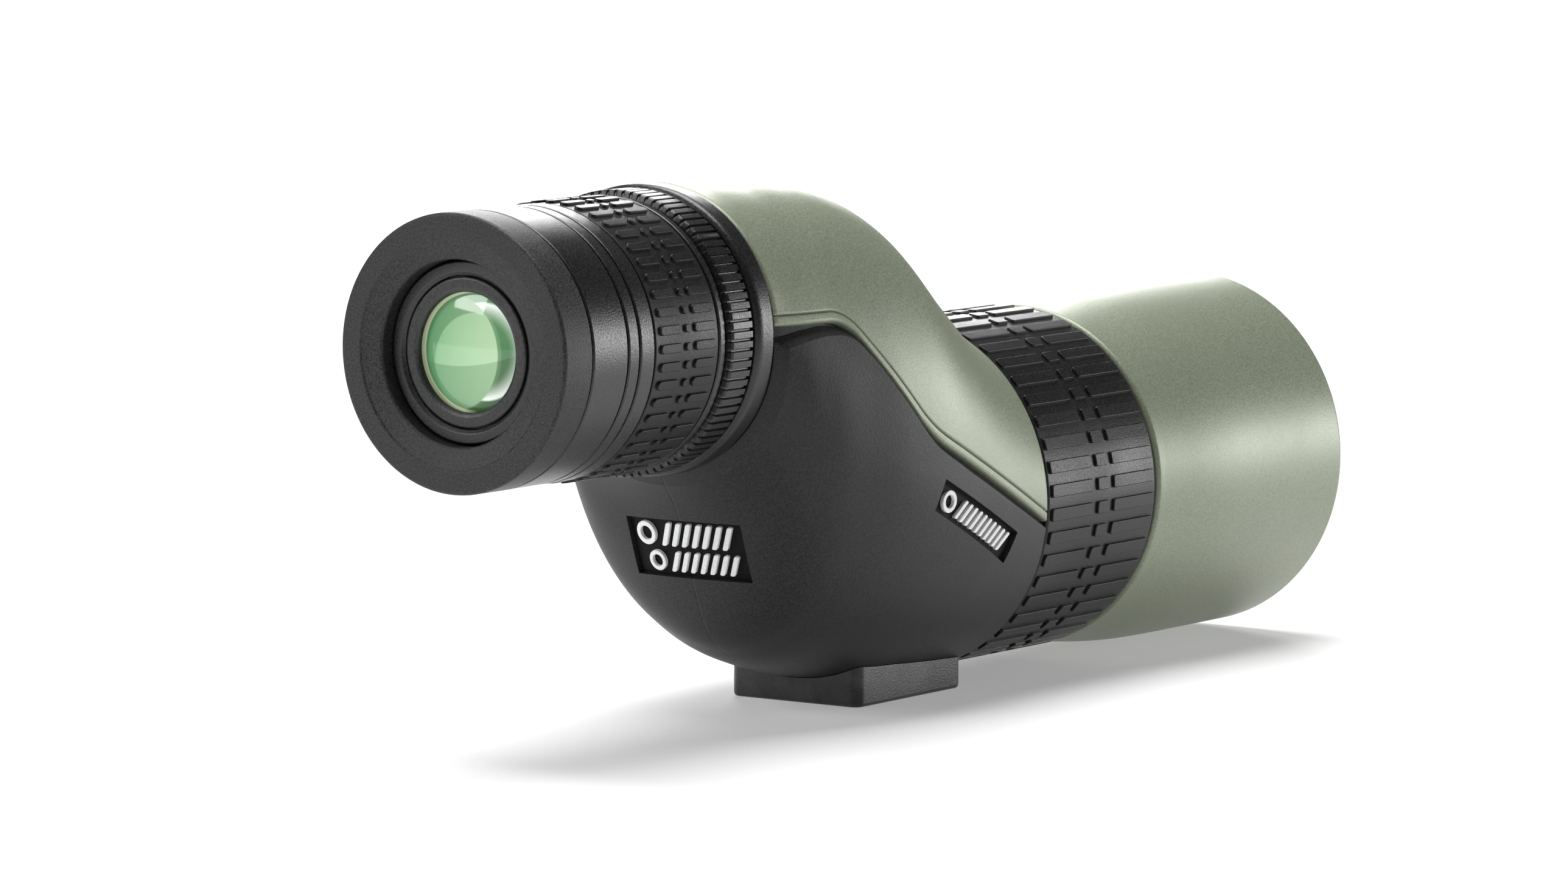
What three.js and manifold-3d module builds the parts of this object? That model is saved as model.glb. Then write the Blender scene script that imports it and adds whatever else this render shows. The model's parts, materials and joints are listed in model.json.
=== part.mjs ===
// Compact straight-body zoom spotting scope, 56 mm objective.
// Millimetres, +Z up. +Y points out of the objective, the eyepiece looks towards -Y.
// The origin is on the underside of the tripod foot, below the middle of the scope's length.
import * as THREE from 'three';
import { mergeVertices } from 'three/addons/utils/BufferGeometryUtils.js';
import Module from 'manifold-3d';

const wasm = await Module();
wasm.setup();

// ---------------------------------------------------------------- driving dimensions
const OBJECTIVE_Z = 36.7;        // height of the objective's optical axis
const EYEPIECE_Z = 74.7;         // height of the eyepiece's optical axis
const FRONT_Y = 123.4;           // front rim of the objective hood
const REAR_Y = -123.4;           // rear rim of the eyecup
const GAP = 0.3;                 // clearance between neighbouring pieces

const BARREL_R = 36.0;           // objective hood, outside
const HOOD_R = 33.2;             // objective hood, inside
const TUBE_R = 30.1;             // guide tube that carries the focus ring, outside
const TUBE_BORE_R = 28.3;
const FOCUS_FRONT_Y = 57.3;      // front edge of the focus ring
const HOUSING_FRONT_Y = 17.7;    // front edge of the prism housing
const HOUSING_REAR_Y = -62.5;    // rear edge of the prism housing
const SKIN = 2.0;                // thickness of the shell and of the armour
const CASTING_WALL = 2.0;

const EYE_R = 25.2;              // outside of the eyepiece rings
const BARREL_TUBE_R = 20.3;      // eyepiece barrel, outside
const BARREL_TUBE_BORE_R = 18.8;
const SEAT_R = 27.1;             // smooth collar that the eyepiece seats in
const LOCK_R = 26.4;             // knurled lock collar

const FOCUS_TURN = THREE.MathUtils.degToRad(145);   // either way from rest
const FOCUS_PITCH = 2.37;        // carriage travel per radian of focus ring turn
const ZOOM_TURN = THREE.MathUtils.degToRad(110);

const FOOT = {
  halfWidth: 15.0, rearY: -18.6, frontY: 16.8, corner: 2.2, holeX: 9.8, holeRearY: -12.8, holeFrontY: 6.0,
};
const THREAD_Y = -1.0;           // tripod thread, 1/4 inch
const THREAD_R = 3.2;
const BUSH_R = 5.2;
const BUSH_TOP_Z = 11.4;

const PRISM = { halfLength: 21, thickness: 14, edge: 2.5, sideX: 9.5 };
const PLATE_REAR_Y = -26;        // prism bracket plate
const PLATE_FRONT_Y = -23;

const FINE = 32;                 // facets of large round pieces
const MEDIUM = 24;
const COARSE = 16;

// ---------------------------------------------------------------- finishes
const finish = (color, roughness, metalness = 0) => ({ color, roughness, metalness });
const FINISH = {
  greenPaint: finish(0x8a9478, 0.5, 0.25),
  armour: finish(0x232324, 0.75),
  gripRubber: finish(0x1d1d1e, 0.7),
  satinBlack: finish(0x1a1a1b, 0.45, 0.5),
  eyecupRubber: finish(0x2b2b2c, 0.85),
  casting: finish(0x2e2f30, 0.6, 0.6),
  mattBlack: finish(0x121212, 0.9),
  steel: finish(0xb4b6b8, 0.35, 1.0),
  brass: finish(0xb08d4a, 0.4, 1.0),
  coatedGlass: finish(0x9fcba0, 0.05),
  prismGlass: finish(0xdfe8ea, 0.05),
  badge: finish(0x3a3b3c, 0.4, 0.4),
};

const scope = new THREE.Group();

function addPiece(name, look, geometry) {
  const mesh = new THREE.Mesh(geometry, new THREE.MeshStandardMaterial(FINISH[look]));
  mesh.name = name;
  scope.add(mesh);
}

// ---------------------------------------------------------------- solids and booleans
function toSolid(geometry) {
  const bare = geometry.clone();
  bare.deleteAttribute('normal');
  bare.deleteAttribute('uv');
  const merged = mergeVertices(bare, 1e-4);
  const triangles = [];
  for (let i = 0; i < merged.index.count; i += 3) {
    const corners = [0, 1, 2].map((k) => merged.index.getX(i + k));
    if (new Set(corners).size === 3) triangles.push(...corners);
  }
  return new wasm.Manifold(new wasm.Mesh({
    numProp: 3,
    vertProperties: Float32Array.from(merged.attributes.position.array),
    triVerts: Uint32Array.from(triangles),
  }));
}

function toGeometry(solid) {
  const mesh = solid.getMesh();
  const geometry = new THREE.BufferGeometry();
  geometry.setAttribute('position', new THREE.BufferAttribute(Float32Array.from(mesh.vertProperties), 3));
  geometry.setIndex(new THREE.BufferAttribute(Uint32Array.from(mesh.triVerts), 1));
  geometry.computeVertexNormals();
  return geometry;
}

const cutAway = (solid, ...tools) => tools.reduce((rest, tool) => rest.subtract(tool), solid);

// ---------------------------------------------------------------- round pieces about an optical axis
// A profile is a closed list of [radius, y]. It may be given either way round.
function turned(profile, axisZ, segments = FINE) {
  let area = 0;
  profile.forEach(([r, y], i) => {
    const [nextR, nextY] = profile[(i + 1) % profile.length];
    area += r * nextY - nextR * y;
  });
  const outline = area > 0 ? profile : [...profile].reverse();
  const closed = [...outline, outline[0]].map(([r, y]) => new THREE.Vector2(r, y));
  const geometry = new THREE.LatheGeometry(closed, segments);
  geometry.translate(0, 0, axisZ);
  return geometry;
}

function ring(outer, inner, rearY, frontY, axisZ, segments) {
  return turned([[inner, rearY], [outer, rearY], [outer, frontY], [inner, frontY]], axisZ, segments);
}

function sealRing(radius, thickness, y, axisZ) {
  return turned([
    [radius - thickness, y], [radius, y - thickness], [radius + thickness, y], [radius, y + thickness],
  ], axisZ, MEDIUM);
}

// A lens between two spherical faces. Each face has its y at the rim and at the axis.
function lens(radius, rear, front, axisZ, segments = MEDIUM) {
  const steps = 3;
  const face = ({ rim, vertex }) => Array.from({ length: steps + 1 }, (_, i) => {
    const r = (radius * i) / steps;
    return new THREE.Vector2(r, vertex + (rim - vertex) * (r / radius) ** 2);
  });
  const outline = [...face(rear), ...face(front).reverse()];
  const geometry = new THREE.LatheGeometry(outline, segments);
  geometry.translate(0, 0, axisZ);
  return toGeometry(toSolid(geometry));
}

function rod(radius, from, to, segments = 10) {
  const start = new THREE.Vector3(...from);
  const end = new THREE.Vector3(...to);
  const geometry = new THREE.CylinderGeometry(radius, radius, start.distanceTo(end), segments);
  const turn = new THREE.Quaternion().setFromUnitVectors(
    new THREE.Vector3(0, 1, 0), end.clone().sub(start).normalize());
  geometry.applyQuaternion(turn);
  geometry.translate(...start.add(end).multiplyScalar(0.5).toArray());
  return geometry;
}

function block(min, max) {
  const size = max.map((high, i) => high - min[i]);
  const geometry = new THREE.BoxGeometry(...size);
  geometry.translate(...max.map((high, i) => (high + min[i]) / 2));
  return geometry;
}

// ---------------------------------------------------------------- prism housing surface
// Stations along y: crown height, belly height, half width, height of the widest point,
// and the powers of the upper and lower half of the oval section (2 is an ellipse).
const STATIONS = [
  [HOUSING_REAR_Y, EYEPIECE_Z + SEAT_R, EYEPIECE_Z - SEAT_R, SEAT_R, EYEPIECE_Z, 2.0, 2.0],
  [-59, 101.8, 44.5, 28.5, 70.0, 2.0, 2.05],
  [-55, 101.8, 38.0, 30.0, 65.0, 2.05, 2.1],
  [-51, 101.7, 26.5, 31.1, 61.2, 2.1, 2.1],
  [-47, 101.6, 17.5, 32.1, 58.0, 2.1, 2.1],
  [-40, 101.4, 11.5, 33.3, 54.0, 2.2, 2.1],
  [-30, 100.4, 7.5, 34.8, 49.4, 2.3, 2.1],
  [-18, 95.4, 4.8, 35.6, 45.4, 2.45, 2.1],
  [-6, 85.3, 4.2, 35.6, 41.4, 2.35, 2.1],
  [6, 76.6, 3.4, 35.0, 38.6, 2.15, 2.05],
  [HOUSING_FRONT_Y, 70.7, 2.7, 34.0, OBJECTIVE_Z, 2.0, 2.0],
];
const stationCurve = new THREE.CubicInterpolant(
  STATIONS.map((row) => row[0]), STATIONS.flatMap((row) => row.slice(1)), 6);

const signedPower = (value, power) => Math.sign(value) * Math.abs(value) ** power;

function skinPoint(y, angle) {
  const [crownZ, bellyZ, halfWidth, wideZ, topPower, bottomPower] = [...stationCurve.evaluate(y)];
  const cos = Math.cos(angle);
  const sin = Math.sin(angle);
  const power = 2 / (sin >= 0 ? topPower : bottomPower);
  const height = sin >= 0 ? crownZ - wideZ : wideZ - bellyZ;
  return new THREE.Vector3(
    halfWidth * signedPower(cos, power), y, wideZ + height * signedPower(sin, power));
}

// The skin moved inwards along its own normal.
function insetPoint(y, angle, inset) {
  const step = 0.02;
  const along = skinPoint(Math.min(y + step, HOUSING_FRONT_Y), angle)
    .sub(skinPoint(Math.max(y - step, HOUSING_REAR_Y), angle));
  const around = skinPoint(y, angle + step).sub(skinPoint(y, angle - step));
  const inwards = around.cross(along).normalize();
  return skinPoint(y, angle).addScaledVector(inwards, inset);
}

const HOUSING_AROUND = 32;
const HOUSING_ROWS = [-62.5, -59.5, -57, -54.5, -51.5, -48.5, -45, -40, -34, -27, -20, -13, -6, 2, 10, 17.7];

// A closed solid inside the skin. An open end runs on past the housing's edge as a straight neck.
function housingSolid(inset, { openRear = false, openFront = false, rearY = HOUSING_REAR_Y } = {}) {
  const neck = 8;
  const rows = HOUSING_ROWS.filter((y) => y >= rearY)
    .map((y) => ({ y, at: (angle) => insetPoint(y, angle, inset) }));
  const circle = (y, axisZ, radius) => ({
    y, at: (angle) => new THREE.Vector3(radius * Math.cos(angle), y, axisZ + radius * Math.sin(angle)),
  });
  if (openRear) rows.unshift(circle(HOUSING_REAR_Y - neck, EYEPIECE_Z, SEAT_R - inset));
  if (openFront) rows.push(circle(HOUSING_FRONT_Y + neck, OBJECTIVE_Z, 34.0 - inset));
  const geometry = new THREE.CylinderGeometry(1, 1, rows.length - 1, HOUSING_AROUND, rows.length - 1);
  const position = geometry.attributes.position;
  for (let i = 0; i < position.count; i += 1) {
    const row = rows[Math.round(position.getY(i) + (rows.length - 1) / 2)];
    const rim = Math.hypot(position.getX(i), position.getZ(i)) > 0.5;
    const angle = Math.atan2(position.getZ(i), position.getX(i));
    const point = rim ? row.at(angle) : row.at(0).add(row.at(Math.PI)).multiplyScalar(0.5);
    position.setXYZ(i, point.x, point.y, point.z);
  }
  return toSolid(geometry);
}

// ---------------------------------------------------------------- parting line between shell and armour
const YZ_PLANE = new THREE.Matrix4().makeBasis(
  new THREE.Vector3(0, 1, 0), new THREE.Vector3(0, 0, 1), new THREE.Vector3(1, 0, 0));

// Everything above the parting line, raised or lowered by lift.
function aboveParting(lift) {
  const line = new THREE.Shape();
  line.moveTo(-80, 76.5 + lift);
  line.lineTo(-48, 76.5 + lift);
  line.quadraticCurveTo(-44, 76.5 + lift, -41, 73.2 + lift);
  line.lineTo(-27, 57.5 + lift);
  line.quadraticCurveTo(-23.5, 53.5 + lift, -18, 50.8 + lift);
  line.lineTo(30, 27.2 + lift);
  line.lineTo(30, 120);
  line.lineTo(-80, 120);
  const geometry = new THREE.ExtrudeGeometry(line, { depth: 90, bevelEnabled: false, curveSegments: 5 });
  geometry.translate(0, 0, -45);
  geometry.applyMatrix4(YZ_PLANE);
  return toSolid(geometry);
}

// ---------------------------------------------------------------- badges on the armour
const SIDE_BADGE = { halfLength: 14.3, halfHeight: 3.2, tilt: -0.457, centre: [0, -8.0, 36.0] };

function sideBadge(name, nearX, farX) {
  const { halfLength, halfHeight, tilt, centre } = SIDE_BADGE;
  return { name, min: [nearX, -halfLength, -halfHeight], max: [farX, halfLength, halfHeight], tilt, centre };
}

const BADGES = [
  { name: 'rear_badge', min: [-13.1, -60, 27.1], max: [13.1, -46, 38.3], tilt: 0, centre: [0, 0, 0] },
  sideBadge('side_badge_right', 20, 40),
  sideBadge('side_badge_left', -40, -20),
];

function badgeBlock({ min, max, tilt, centre }, margin) {
  const geometry = block(min.map((v) => v - margin), max.map((v) => v + margin));
  geometry.rotateX(tilt);
  geometry.translate(...centre);
  return toSolid(geometry);
}

// ---------------------------------------------------------------- tripod foot
const footHoles = [-1, 1].flatMap((side) => [FOOT.holeRearY, FOOT.holeFrontY]
  .map((y) => [side * FOOT.holeX, y]));

// An upright block with the foot's outline. The notch for it in the armour is wider by margin and
// runs on forwards to frontY.
function footBlock(margin = 0, frontY = FOOT.frontY) {
  const { corner } = FOOT;
  const halfWidth = FOOT.halfWidth + margin;
  const rearY = FOOT.rearY - margin;
  const outline = new THREE.Shape();
  outline.moveTo(-halfWidth + corner, rearY);
  outline.lineTo(halfWidth - corner, rearY);
  outline.absarc(halfWidth - corner, rearY + corner, corner, -Math.PI / 2, 0);
  outline.absarc(halfWidth - corner, frontY - corner, corner, 0, Math.PI / 2);
  outline.absarc(-halfWidth + corner, frontY - corner, corner, Math.PI / 2, Math.PI);
  outline.absarc(-halfWidth + corner, rearY + corner, corner, Math.PI, Math.PI * 1.5);
  const options = { depth: 12, bevelEnabled: false, curveSegments: 4 };
  return toSolid(new THREE.ExtrudeGeometry(outline, options));
}

// ---------------------------------------------------------------- housing, shell, armour and foot
const outerSkin = housingSolid(0);
const skinBore = housingSolid(SKIN, { openRear: true, openFront: true });
const skinCore = housingSolid(SKIN);
const footNotches = footHoles.map(([x, y]) => toSolid(rod(2.0, [x, y, -1], [x, y, 12])));
const bushNotch = toSolid(rod(BUSH_R + GAP, [0, THREAD_Y, -1], [0, THREAD_Y, 13]));

addPiece('upper_shell', 'greenPaint', toGeometry(
  outerSkin.subtract(skinBore).intersect(aboveParting(GAP / 2))));

const badgePocketFloor = housingSolid(1.5);
const badgePockets = BADGES.map((badge) => badgeBlock(badge, GAP).subtract(badgePocketFloor));
addPiece('lower_armour', 'armour', toGeometry(cutAway(
  outerSkin.subtract(skinBore).subtract(aboveParting(-GAP / 2)),
  ...badgePockets, footBlock(GAP, HOUSING_FRONT_Y + 5))));

const badgeFront = housingSolid(0.3);
const badgeBack = housingSolid(1.2);
for (const badge of BADGES) {
  addPiece(badge.name, 'badge', toGeometry(
    badgeBlock(badge, 0).intersect(badgeFront).subtract(badgeBack)));
}

const bracketScrews = [[-25, 62], [21.5, 30]];
const posts = bracketScrews.map(([x, z]) => {
  const inner = x - Math.sign(x) * 3.5;
  const outer = x + Math.sign(x) * 10;
  return toSolid(block(
    [Math.min(inner, outer), PLATE_FRONT_Y + GAP, z - 4],
    [Math.max(inner, outer), PLATE_FRONT_Y + 11, z + 4]));
});
const footBosses = footHoles.map(([x, y]) => toSolid(rod(3.6, [x, y, 5], [x, y, 15.5])));
const bushBoss = toSolid(rod(8.2, [0, THREAD_Y, 4], [0, THREAD_Y, 14.5]));
const castingOuter = housingSolid(SKIN + GAP);
const castingCavity = housingSolid(SKIN + GAP + CASTING_WALL, { openFront: true, rearY: -59.5 });
const castingTrim = toSolid(block([-50, HOUSING_REAR_Y + GAP, -5], [50, HOUSING_FRONT_Y - GAP, 110]));
const eyeBore = toSolid(rod(BARREL_TUBE_R + GAP, [0, -70, EYEPIECE_Z], [0, -50, EYEPIECE_Z], FINE));
const tubeBore = toSolid(rod(TUBE_R + GAP, [0, 11.2, OBJECTIVE_Z], [0, 30, OBJECTIVE_Z], FINE));
const postHoles = bracketScrews.map(([x, z]) => toSolid(rod(1.3, [x, -30, z], [x, -13.5, z])));
const bossHoles = footHoles.map(([x, y]) => toSolid(rod(1.8, [x, y, 0], [x, y, 14.2])));
const seatScrewAngles = [90, 210, 330].map(THREE.MathUtils.degToRad);
const seatScrewAt = (angle, y) => [22.9 * Math.cos(angle), y, EYEPIECE_Z + 22.9 * Math.sin(angle)];
const seatHoles = seatScrewAngles.map((a) => toSolid(rod(1.2, seatScrewAt(a, -70), seatScrewAt(a, -58))));
const castingInside = [...posts, ...footBosses, bushBoss]
  .reduce((sum, post) => sum.add(post))
  .intersect(castingOuter);
addPiece('prism_housing', 'casting', toGeometry(cutAway(
  castingOuter.subtract(castingCavity).add(castingInside).intersect(castingTrim),
  eyeBore, tubeBore, bushNotch, ...postHoles, ...bossHoles, ...seatHoles)));

// The foot passes through the armour and stands against the housing casting.
const footRecesses = footHoles.map(([x, y]) => toSolid(rod(3.2, [x, y, -1], [x, y, 2.0])));
addPiece('tripod_foot', 'satinBlack', toGeometry(cutAway(
  footBlock(), skinCore, ...footNotches, ...footRecesses, bushNotch)));

const bush = ring(BUSH_R, THREAD_R, 0.2, BUSH_TOP_Z, 0, COARSE);
bush.rotateX(Math.PI / 2);
bush.translate(0, THREAD_Y, 0);
addPiece('tripod_bush', 'brass', bush);

footHoles.forEach(([x, y], i) => {
  const shank = toSolid(rod(1.5, [x, y, 1.0], [x, y, 13.6]));
  const head = toSolid(rod(2.8, [x, y, 0.4], [x, y, 1.7]));
  const slot = toSolid(block([x - 0.4, y - 4, 0], [x + 0.4, y + 4, 0.9]));
  addPiece(`foot_screw_${i + 1}`, 'steel', toGeometry(head.add(shank).subtract(slot)));
});

// ---------------------------------------------------------------- prisms
// Each prism's long face lies against the bracket plate. Its own frame has u along the long face,
// v away from the plate and w across its thickness.
const DIAGONAL = Math.SQRT1_2;
const PRISM_PAIR = [
  {
    name: 'lower', y: PLATE_REAR_Y - GAP, z: OBJECTIVE_Z + PRISM.sideX,
    u: [DIAGONAL, 0, DIAGONAL], v: [0, -1, 0],
  },
  {
    name: 'upper', y: PLATE_FRONT_Y + GAP, z: EYEPIECE_Z - PRISM.sideX,
    u: [DIAGONAL, 0, -DIAGONAL], v: [0, 1, 0],
  },
];

function placedExtrusion(points, width, { y, z, u, v }) {
  const outline = new THREE.Shape(points.map(([a, b]) => new THREE.Vector2(a, b)));
  const geometry = new THREE.ExtrudeGeometry(outline, { depth: width, bevelEnabled: false });
  geometry.translate(0, 0, -width / 2);
  const uAxis = new THREE.Vector3(...u);
  const vAxis = new THREE.Vector3(...v);
  geometry.applyMatrix4(new THREE.Matrix4().makeBasis(uAxis, vAxis, uAxis.clone().cross(vAxis)));
  geometry.translate(PRISM.sideX, y, z);
  return geometry;
}

for (const place of PRISM_PAIR) {
  const { halfLength: h, edge: e } = PRISM;
  const roof = [[-h, 0], [h, 0], [h, e], [e, h], [-e, h], [-h, e]];
  addPiece(`prism_${place.name}`, 'prismGlass', placedExtrusion(roof, PRISM.thickness, place));
  const near = 0.4;
  const far = 1.2;
  const foot = h + 3.2;
  const strap = [
    [-foot, 0.1], [-h - near, 0.1], [-h - near, e], [-e, h + near],
    [e, h + near], [h + near, e], [h + near, 0.1], [foot, 0.1],
    [foot, 0.9], [h + far, 0.9], [h + far, e + near], [e + near, h + far],
    [-e - near, h + far], [-h - far, e + near], [-h - far, 0.9], [-foot, 0.9],
  ];
  addPiece(`prism_clip_${place.name}`, 'steel', placedExtrusion(strap, 6, place));
}

const windows = [
  [0, OBJECTIVE_Z, 13], [2 * PRISM.sideX, (OBJECTIVE_Z + EYEPIECE_Z) / 2, 7.5], [0, EYEPIECE_Z, 9],
];
const plate = housingSolid(SKIN + GAP + CASTING_WALL + GAP)
  .intersect(toSolid(block([-50, PLATE_REAR_Y, 0], [50, PLATE_FRONT_Y, 110])));
addPiece('prism_bracket', 'casting', toGeometry(cutAway(
  plate,
  ...windows.map(([x, z, r]) => toSolid(rod(r, [x, -30, z], [x, -20, z]))),
  ...postHoles)));

bracketScrews.forEach(([x, z], i) => {
  const shank = toSolid(rod(1.0, [x, PLATE_REAR_Y - 1, z], [x, -14, z]));
  const head = toSolid(rod(2.2, [x, PLATE_REAR_Y - 1.8, z], [x, PLATE_REAR_Y - GAP, z]));
  addPiece(`bracket_screw_${i + 1}`, 'steel', toGeometry(head.add(shank)));
});

// ---------------------------------------------------------------- objective end
addPiece('objective_barrel', 'greenPaint', turned([
  [TUBE_R + GAP, FOCUS_FRONT_Y + 0.4], [33.4, FOCUS_FRONT_Y + 0.4], [33.7, 59], [34.3, 66], [35.2, 74],
  [35.8, 82], [BARREL_R, 92], [BARREL_R, FRONT_Y - 0.8], [35.5, FRONT_Y],
  [34.2, FRONT_Y], [HOOD_R, FRONT_Y - 1.2],
  [HOOD_R, 88], [TUBE_R + GAP, 88],
], OBJECTIVE_Z));

addPiece('guide_tube', 'mattBlack', toGeometry(cutAway(
  toSolid(turned([
    [TUBE_BORE_R, 11.5], [TUBE_R, 11.5], [TUBE_R, 21], [29.0, 21], [29.0, 22.4], [TUBE_R, 22.4],
    [TUBE_R, 53], [29.0, 53], [29.0, 54.4], [TUBE_R, 54.4], [TUBE_R, 87.6], [TUBE_BORE_R, 87.6],
  ], OBJECTIVE_Z)),
  toSolid(block([-1.4, 38, OBJECTIVE_Z + 20], [1.4, 54 - 1.4, OBJECTIVE_Z + 40])))));
addPiece('focus_rear_seal', 'gripRubber', sealRing(29.75, 0.42, 21.7, OBJECTIVE_Z));
addPiece('focus_front_seal', 'gripRubber', sealRing(29.75, 0.42, 53.7, OBJECTIVE_Z));

addPiece('objective_cell', 'mattBlack', turned([
  [27.5, 88.3], [32.9, 88.3], [32.9, 95.2], [31.2, 95.2], [31.2, 97.4], [32.9, 97.4],
  [32.9, 104.3], [29.3, 104.3], [29.3, 90.2], [27.5, 90.2],
], OBJECTIVE_Z, MEDIUM));
addPiece('objective_seal', 'gripRubber', sealRing(32.25, 0.6, 96.3, OBJECTIVE_Z));
addPiece('objective_flint_lens', 'coatedGlass',
  lens(29.0, { rim: 91.4, vertex: 91.0 }, { rim: 98.9, vertex: 95.6 }, OBJECTIVE_Z));
addPiece('objective_crown_lens', 'coatedGlass',
  lens(29.0, { rim: 99.2, vertex: 95.9 }, { rim: 102.6, vertex: 105.6 }, OBJECTIVE_Z));
addPiece('objective_retaining_ring', 'mattBlack', ring(32.8, 28.0, 104.6, 106.6, OBJECTIVE_Z, MEDIUM));

// The focus ring's inner face has a helical groove. The drive pin stands in it and passes
// through the guide tube's straight slot, so turning the ring moves the focus lens along the axis.
const DRIVE_PIN_Y = 45.4;
class HelixCurve extends THREE.Curve {
  constructor(radius, turn) {
    super();
    this.radius = radius;
    this.turn = turn;
  }

  getPoint(t, target = new THREE.Vector3()) {
    const angle = (2 * t - 1) * this.turn;
    return target.set(
      -this.radius * Math.sin(angle),
      DRIVE_PIN_Y + FOCUS_PITCH * angle,
      OBJECTIVE_Z + this.radius * Math.cos(angle));
  }
}
const grooveSection = new THREE.Shape().absarc(0, 0, 1.65, 0, 2 * Math.PI);
const groove = toSolid(new THREE.ExtrudeGeometry(grooveSection, {
  extrudePath: new HelixCurve(TUBE_R + GAP - 0.4, FOCUS_TURN + 0.06),
  steps: 36,
  curveSegments: 3,
  bevelEnabled: false,
}));
const focusCore = toSolid(
  ring(32.3, TUBE_R + GAP, HOUSING_FRONT_Y + 0.6, FOCUS_FRONT_Y - 0.2, OBJECTIVE_Z));
addPiece('focus_ring_core', 'satinBlack', toGeometry(focusCore.subtract(groove)));
addPiece('focus_ring_rubber', 'gripRubber', turned([
  [32.6, 18.4], [33.3, 18.4], [33.6, 18.9], [33.6, FOCUS_FRONT_Y - 0.8], [33.3, FOCUS_FRONT_Y - 0.3],
  [32.6, FOCUS_FRONT_Y - 0.3],
], OBJECTIVE_Z));

const focusCell = toSolid(turned([
  [24.0, 39.4], [27.8, 39.4], [27.8, 51.4], [25.2, 51.4], [25.2, 41.4], [24.0, 41.4],
], OBJECTIVE_Z, MEDIUM));
const pinHole = toSolid(rod(1.35, [0, DRIVE_PIN_Y, OBJECTIVE_Z + 20], [0, DRIVE_PIN_Y, OBJECTIVE_Z + 29]));
addPiece('focus_lens_cell', 'mattBlack', toGeometry(focusCell.subtract(pinHole)));
addPiece('focus_drive_pin', 'steel',
  rod(1.0, [0, DRIVE_PIN_Y, OBJECTIVE_Z + 25.5], [0, DRIVE_PIN_Y, OBJECTIVE_Z + 30.8]));
addPiece('focus_lens', 'prismGlass',
  lens(24.9, { rim: 41.8, vertex: 42.6 }, { rim: 47.0, vertex: 45.6 }, OBJECTIVE_Z));
addPiece('focus_lens_retainer', 'mattBlack', ring(24.9, 22.6, 47.4, 49.0, OBJECTIVE_Z, MEDIUM));

// ---------------------------------------------------------------- eyepiece seat and lock collar
const SEAT_REAR_Y = -67.7;
const seatCounterbores = seatScrewAngles
  .map((a) => toSolid(rod(2.1, seatScrewAt(a, -70), seatScrewAt(a, -66.1))));
addPiece('eyepiece_seat', 'satinBlack', toGeometry(cutAway(
  toSolid(turned([
    [BARREL_TUBE_R + GAP, SEAT_REAR_Y], [26.6, SEAT_REAR_Y], [SEAT_R, SEAT_REAR_Y + 0.5],
    [SEAT_R, HOUSING_REAR_Y - GAP], [BARREL_TUBE_R + GAP, HOUSING_REAR_Y - GAP],
  ], EYEPIECE_Z)),
  ...seatHoles, ...seatCounterbores)));
seatScrewAngles.forEach((angle, i) => {
  const shank = toSolid(rod(0.9, seatScrewAt(angle, -66.5), seatScrewAt(angle, -59.9)));
  const head = toSolid(rod(1.8, seatScrewAt(angle, -67.5), seatScrewAt(angle, -66.4)));
  addPiece(`seat_screw_${i + 1}`, 'steel', toGeometry(head.add(shank)));
});
addPiece('lock_collar', 'satinBlack', turned([
  [BARREL_TUBE_R + GAP, -75.0], [25.4, -75.0], [LOCK_R, -74.4], [LOCK_R, -68.6], [25.4, -68.0],
  [BARREL_TUBE_R + GAP, -68.0],
], EYEPIECE_Z));

// ---------------------------------------------------------------- eyepiece barrel and zoom
const DRIVE_SCREW_Y = -98.8;
const SLOT_MARGIN = 0.12;
const slotStart = Math.PI / 2 + SLOT_MARGIN;
const slotEnd = Math.PI / 2 - ZOOM_TURN - SLOT_MARGIN;
const slotShape = new THREE.Shape();
slotShape.absarc(0, 0, 24, slotStart, slotEnd, true);
slotShape.absarc(0, 0, 14, slotEnd, slotStart, false);
const slotCutter = new THREE.ExtrudeGeometry(
  slotShape, { depth: 3.6, bevelEnabled: false, curveSegments: 12 });
slotCutter.rotateX(Math.PI / 2);
slotCutter.translate(0, DRIVE_SCREW_Y + 1.8, EYEPIECE_Z);
addPiece('eyepiece_barrel', 'satinBlack', toGeometry(toSolid(turned([
  [BARREL_TUBE_BORE_R, -112], [BARREL_TUBE_R, -112], [BARREL_TUBE_R, -61.8], [19.3, -61.8], [19.3, -60.4],
  [BARREL_TUBE_R, -60.4], [BARREL_TUBE_R, -53], [BARREL_TUBE_BORE_R, -53],
], EYEPIECE_Z)).subtract(toSolid(slotCutter))));
addPiece('eyepiece_seal', 'gripRubber', sealRing(19.95, 0.42, -61.1, EYEPIECE_Z));

const driveHole = toSolid(rod(1.7, [0, DRIVE_SCREW_Y, EYEPIECE_Z + 14], [0, DRIVE_SCREW_Y, EYEPIECE_Z + 30]));
addPiece('zoom_cam_tube', 'mattBlack', toGeometry(
  toSolid(ring(18.5, 17.2, -101.0, -63.0, EYEPIECE_Z, MEDIUM)).subtract(driveHole)));
addPiece('zoom_field_cell', 'mattBlack', ring(16.9, 14.7, -75.0, -66.0, EYEPIECE_Z, COARSE));
addPiece('zoom_field_lens', 'prismGlass',
  lens(14.4, { rim: -72.4, vertex: -73.6 }, { rim: -69.4, vertex: -68.2 }, EYEPIECE_Z, COARSE));
addPiece('zoom_middle_cell', 'mattBlack', ring(16.9, 14.7, -99.0, -91.0, EYEPIECE_Z, COARSE));
addPiece('zoom_middle_lens', 'prismGlass',
  lens(14.4, { rim: -96.6, vertex: -97.8 }, { rim: -93.6, vertex: -92.6 }, EYEPIECE_Z, COARSE));
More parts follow.
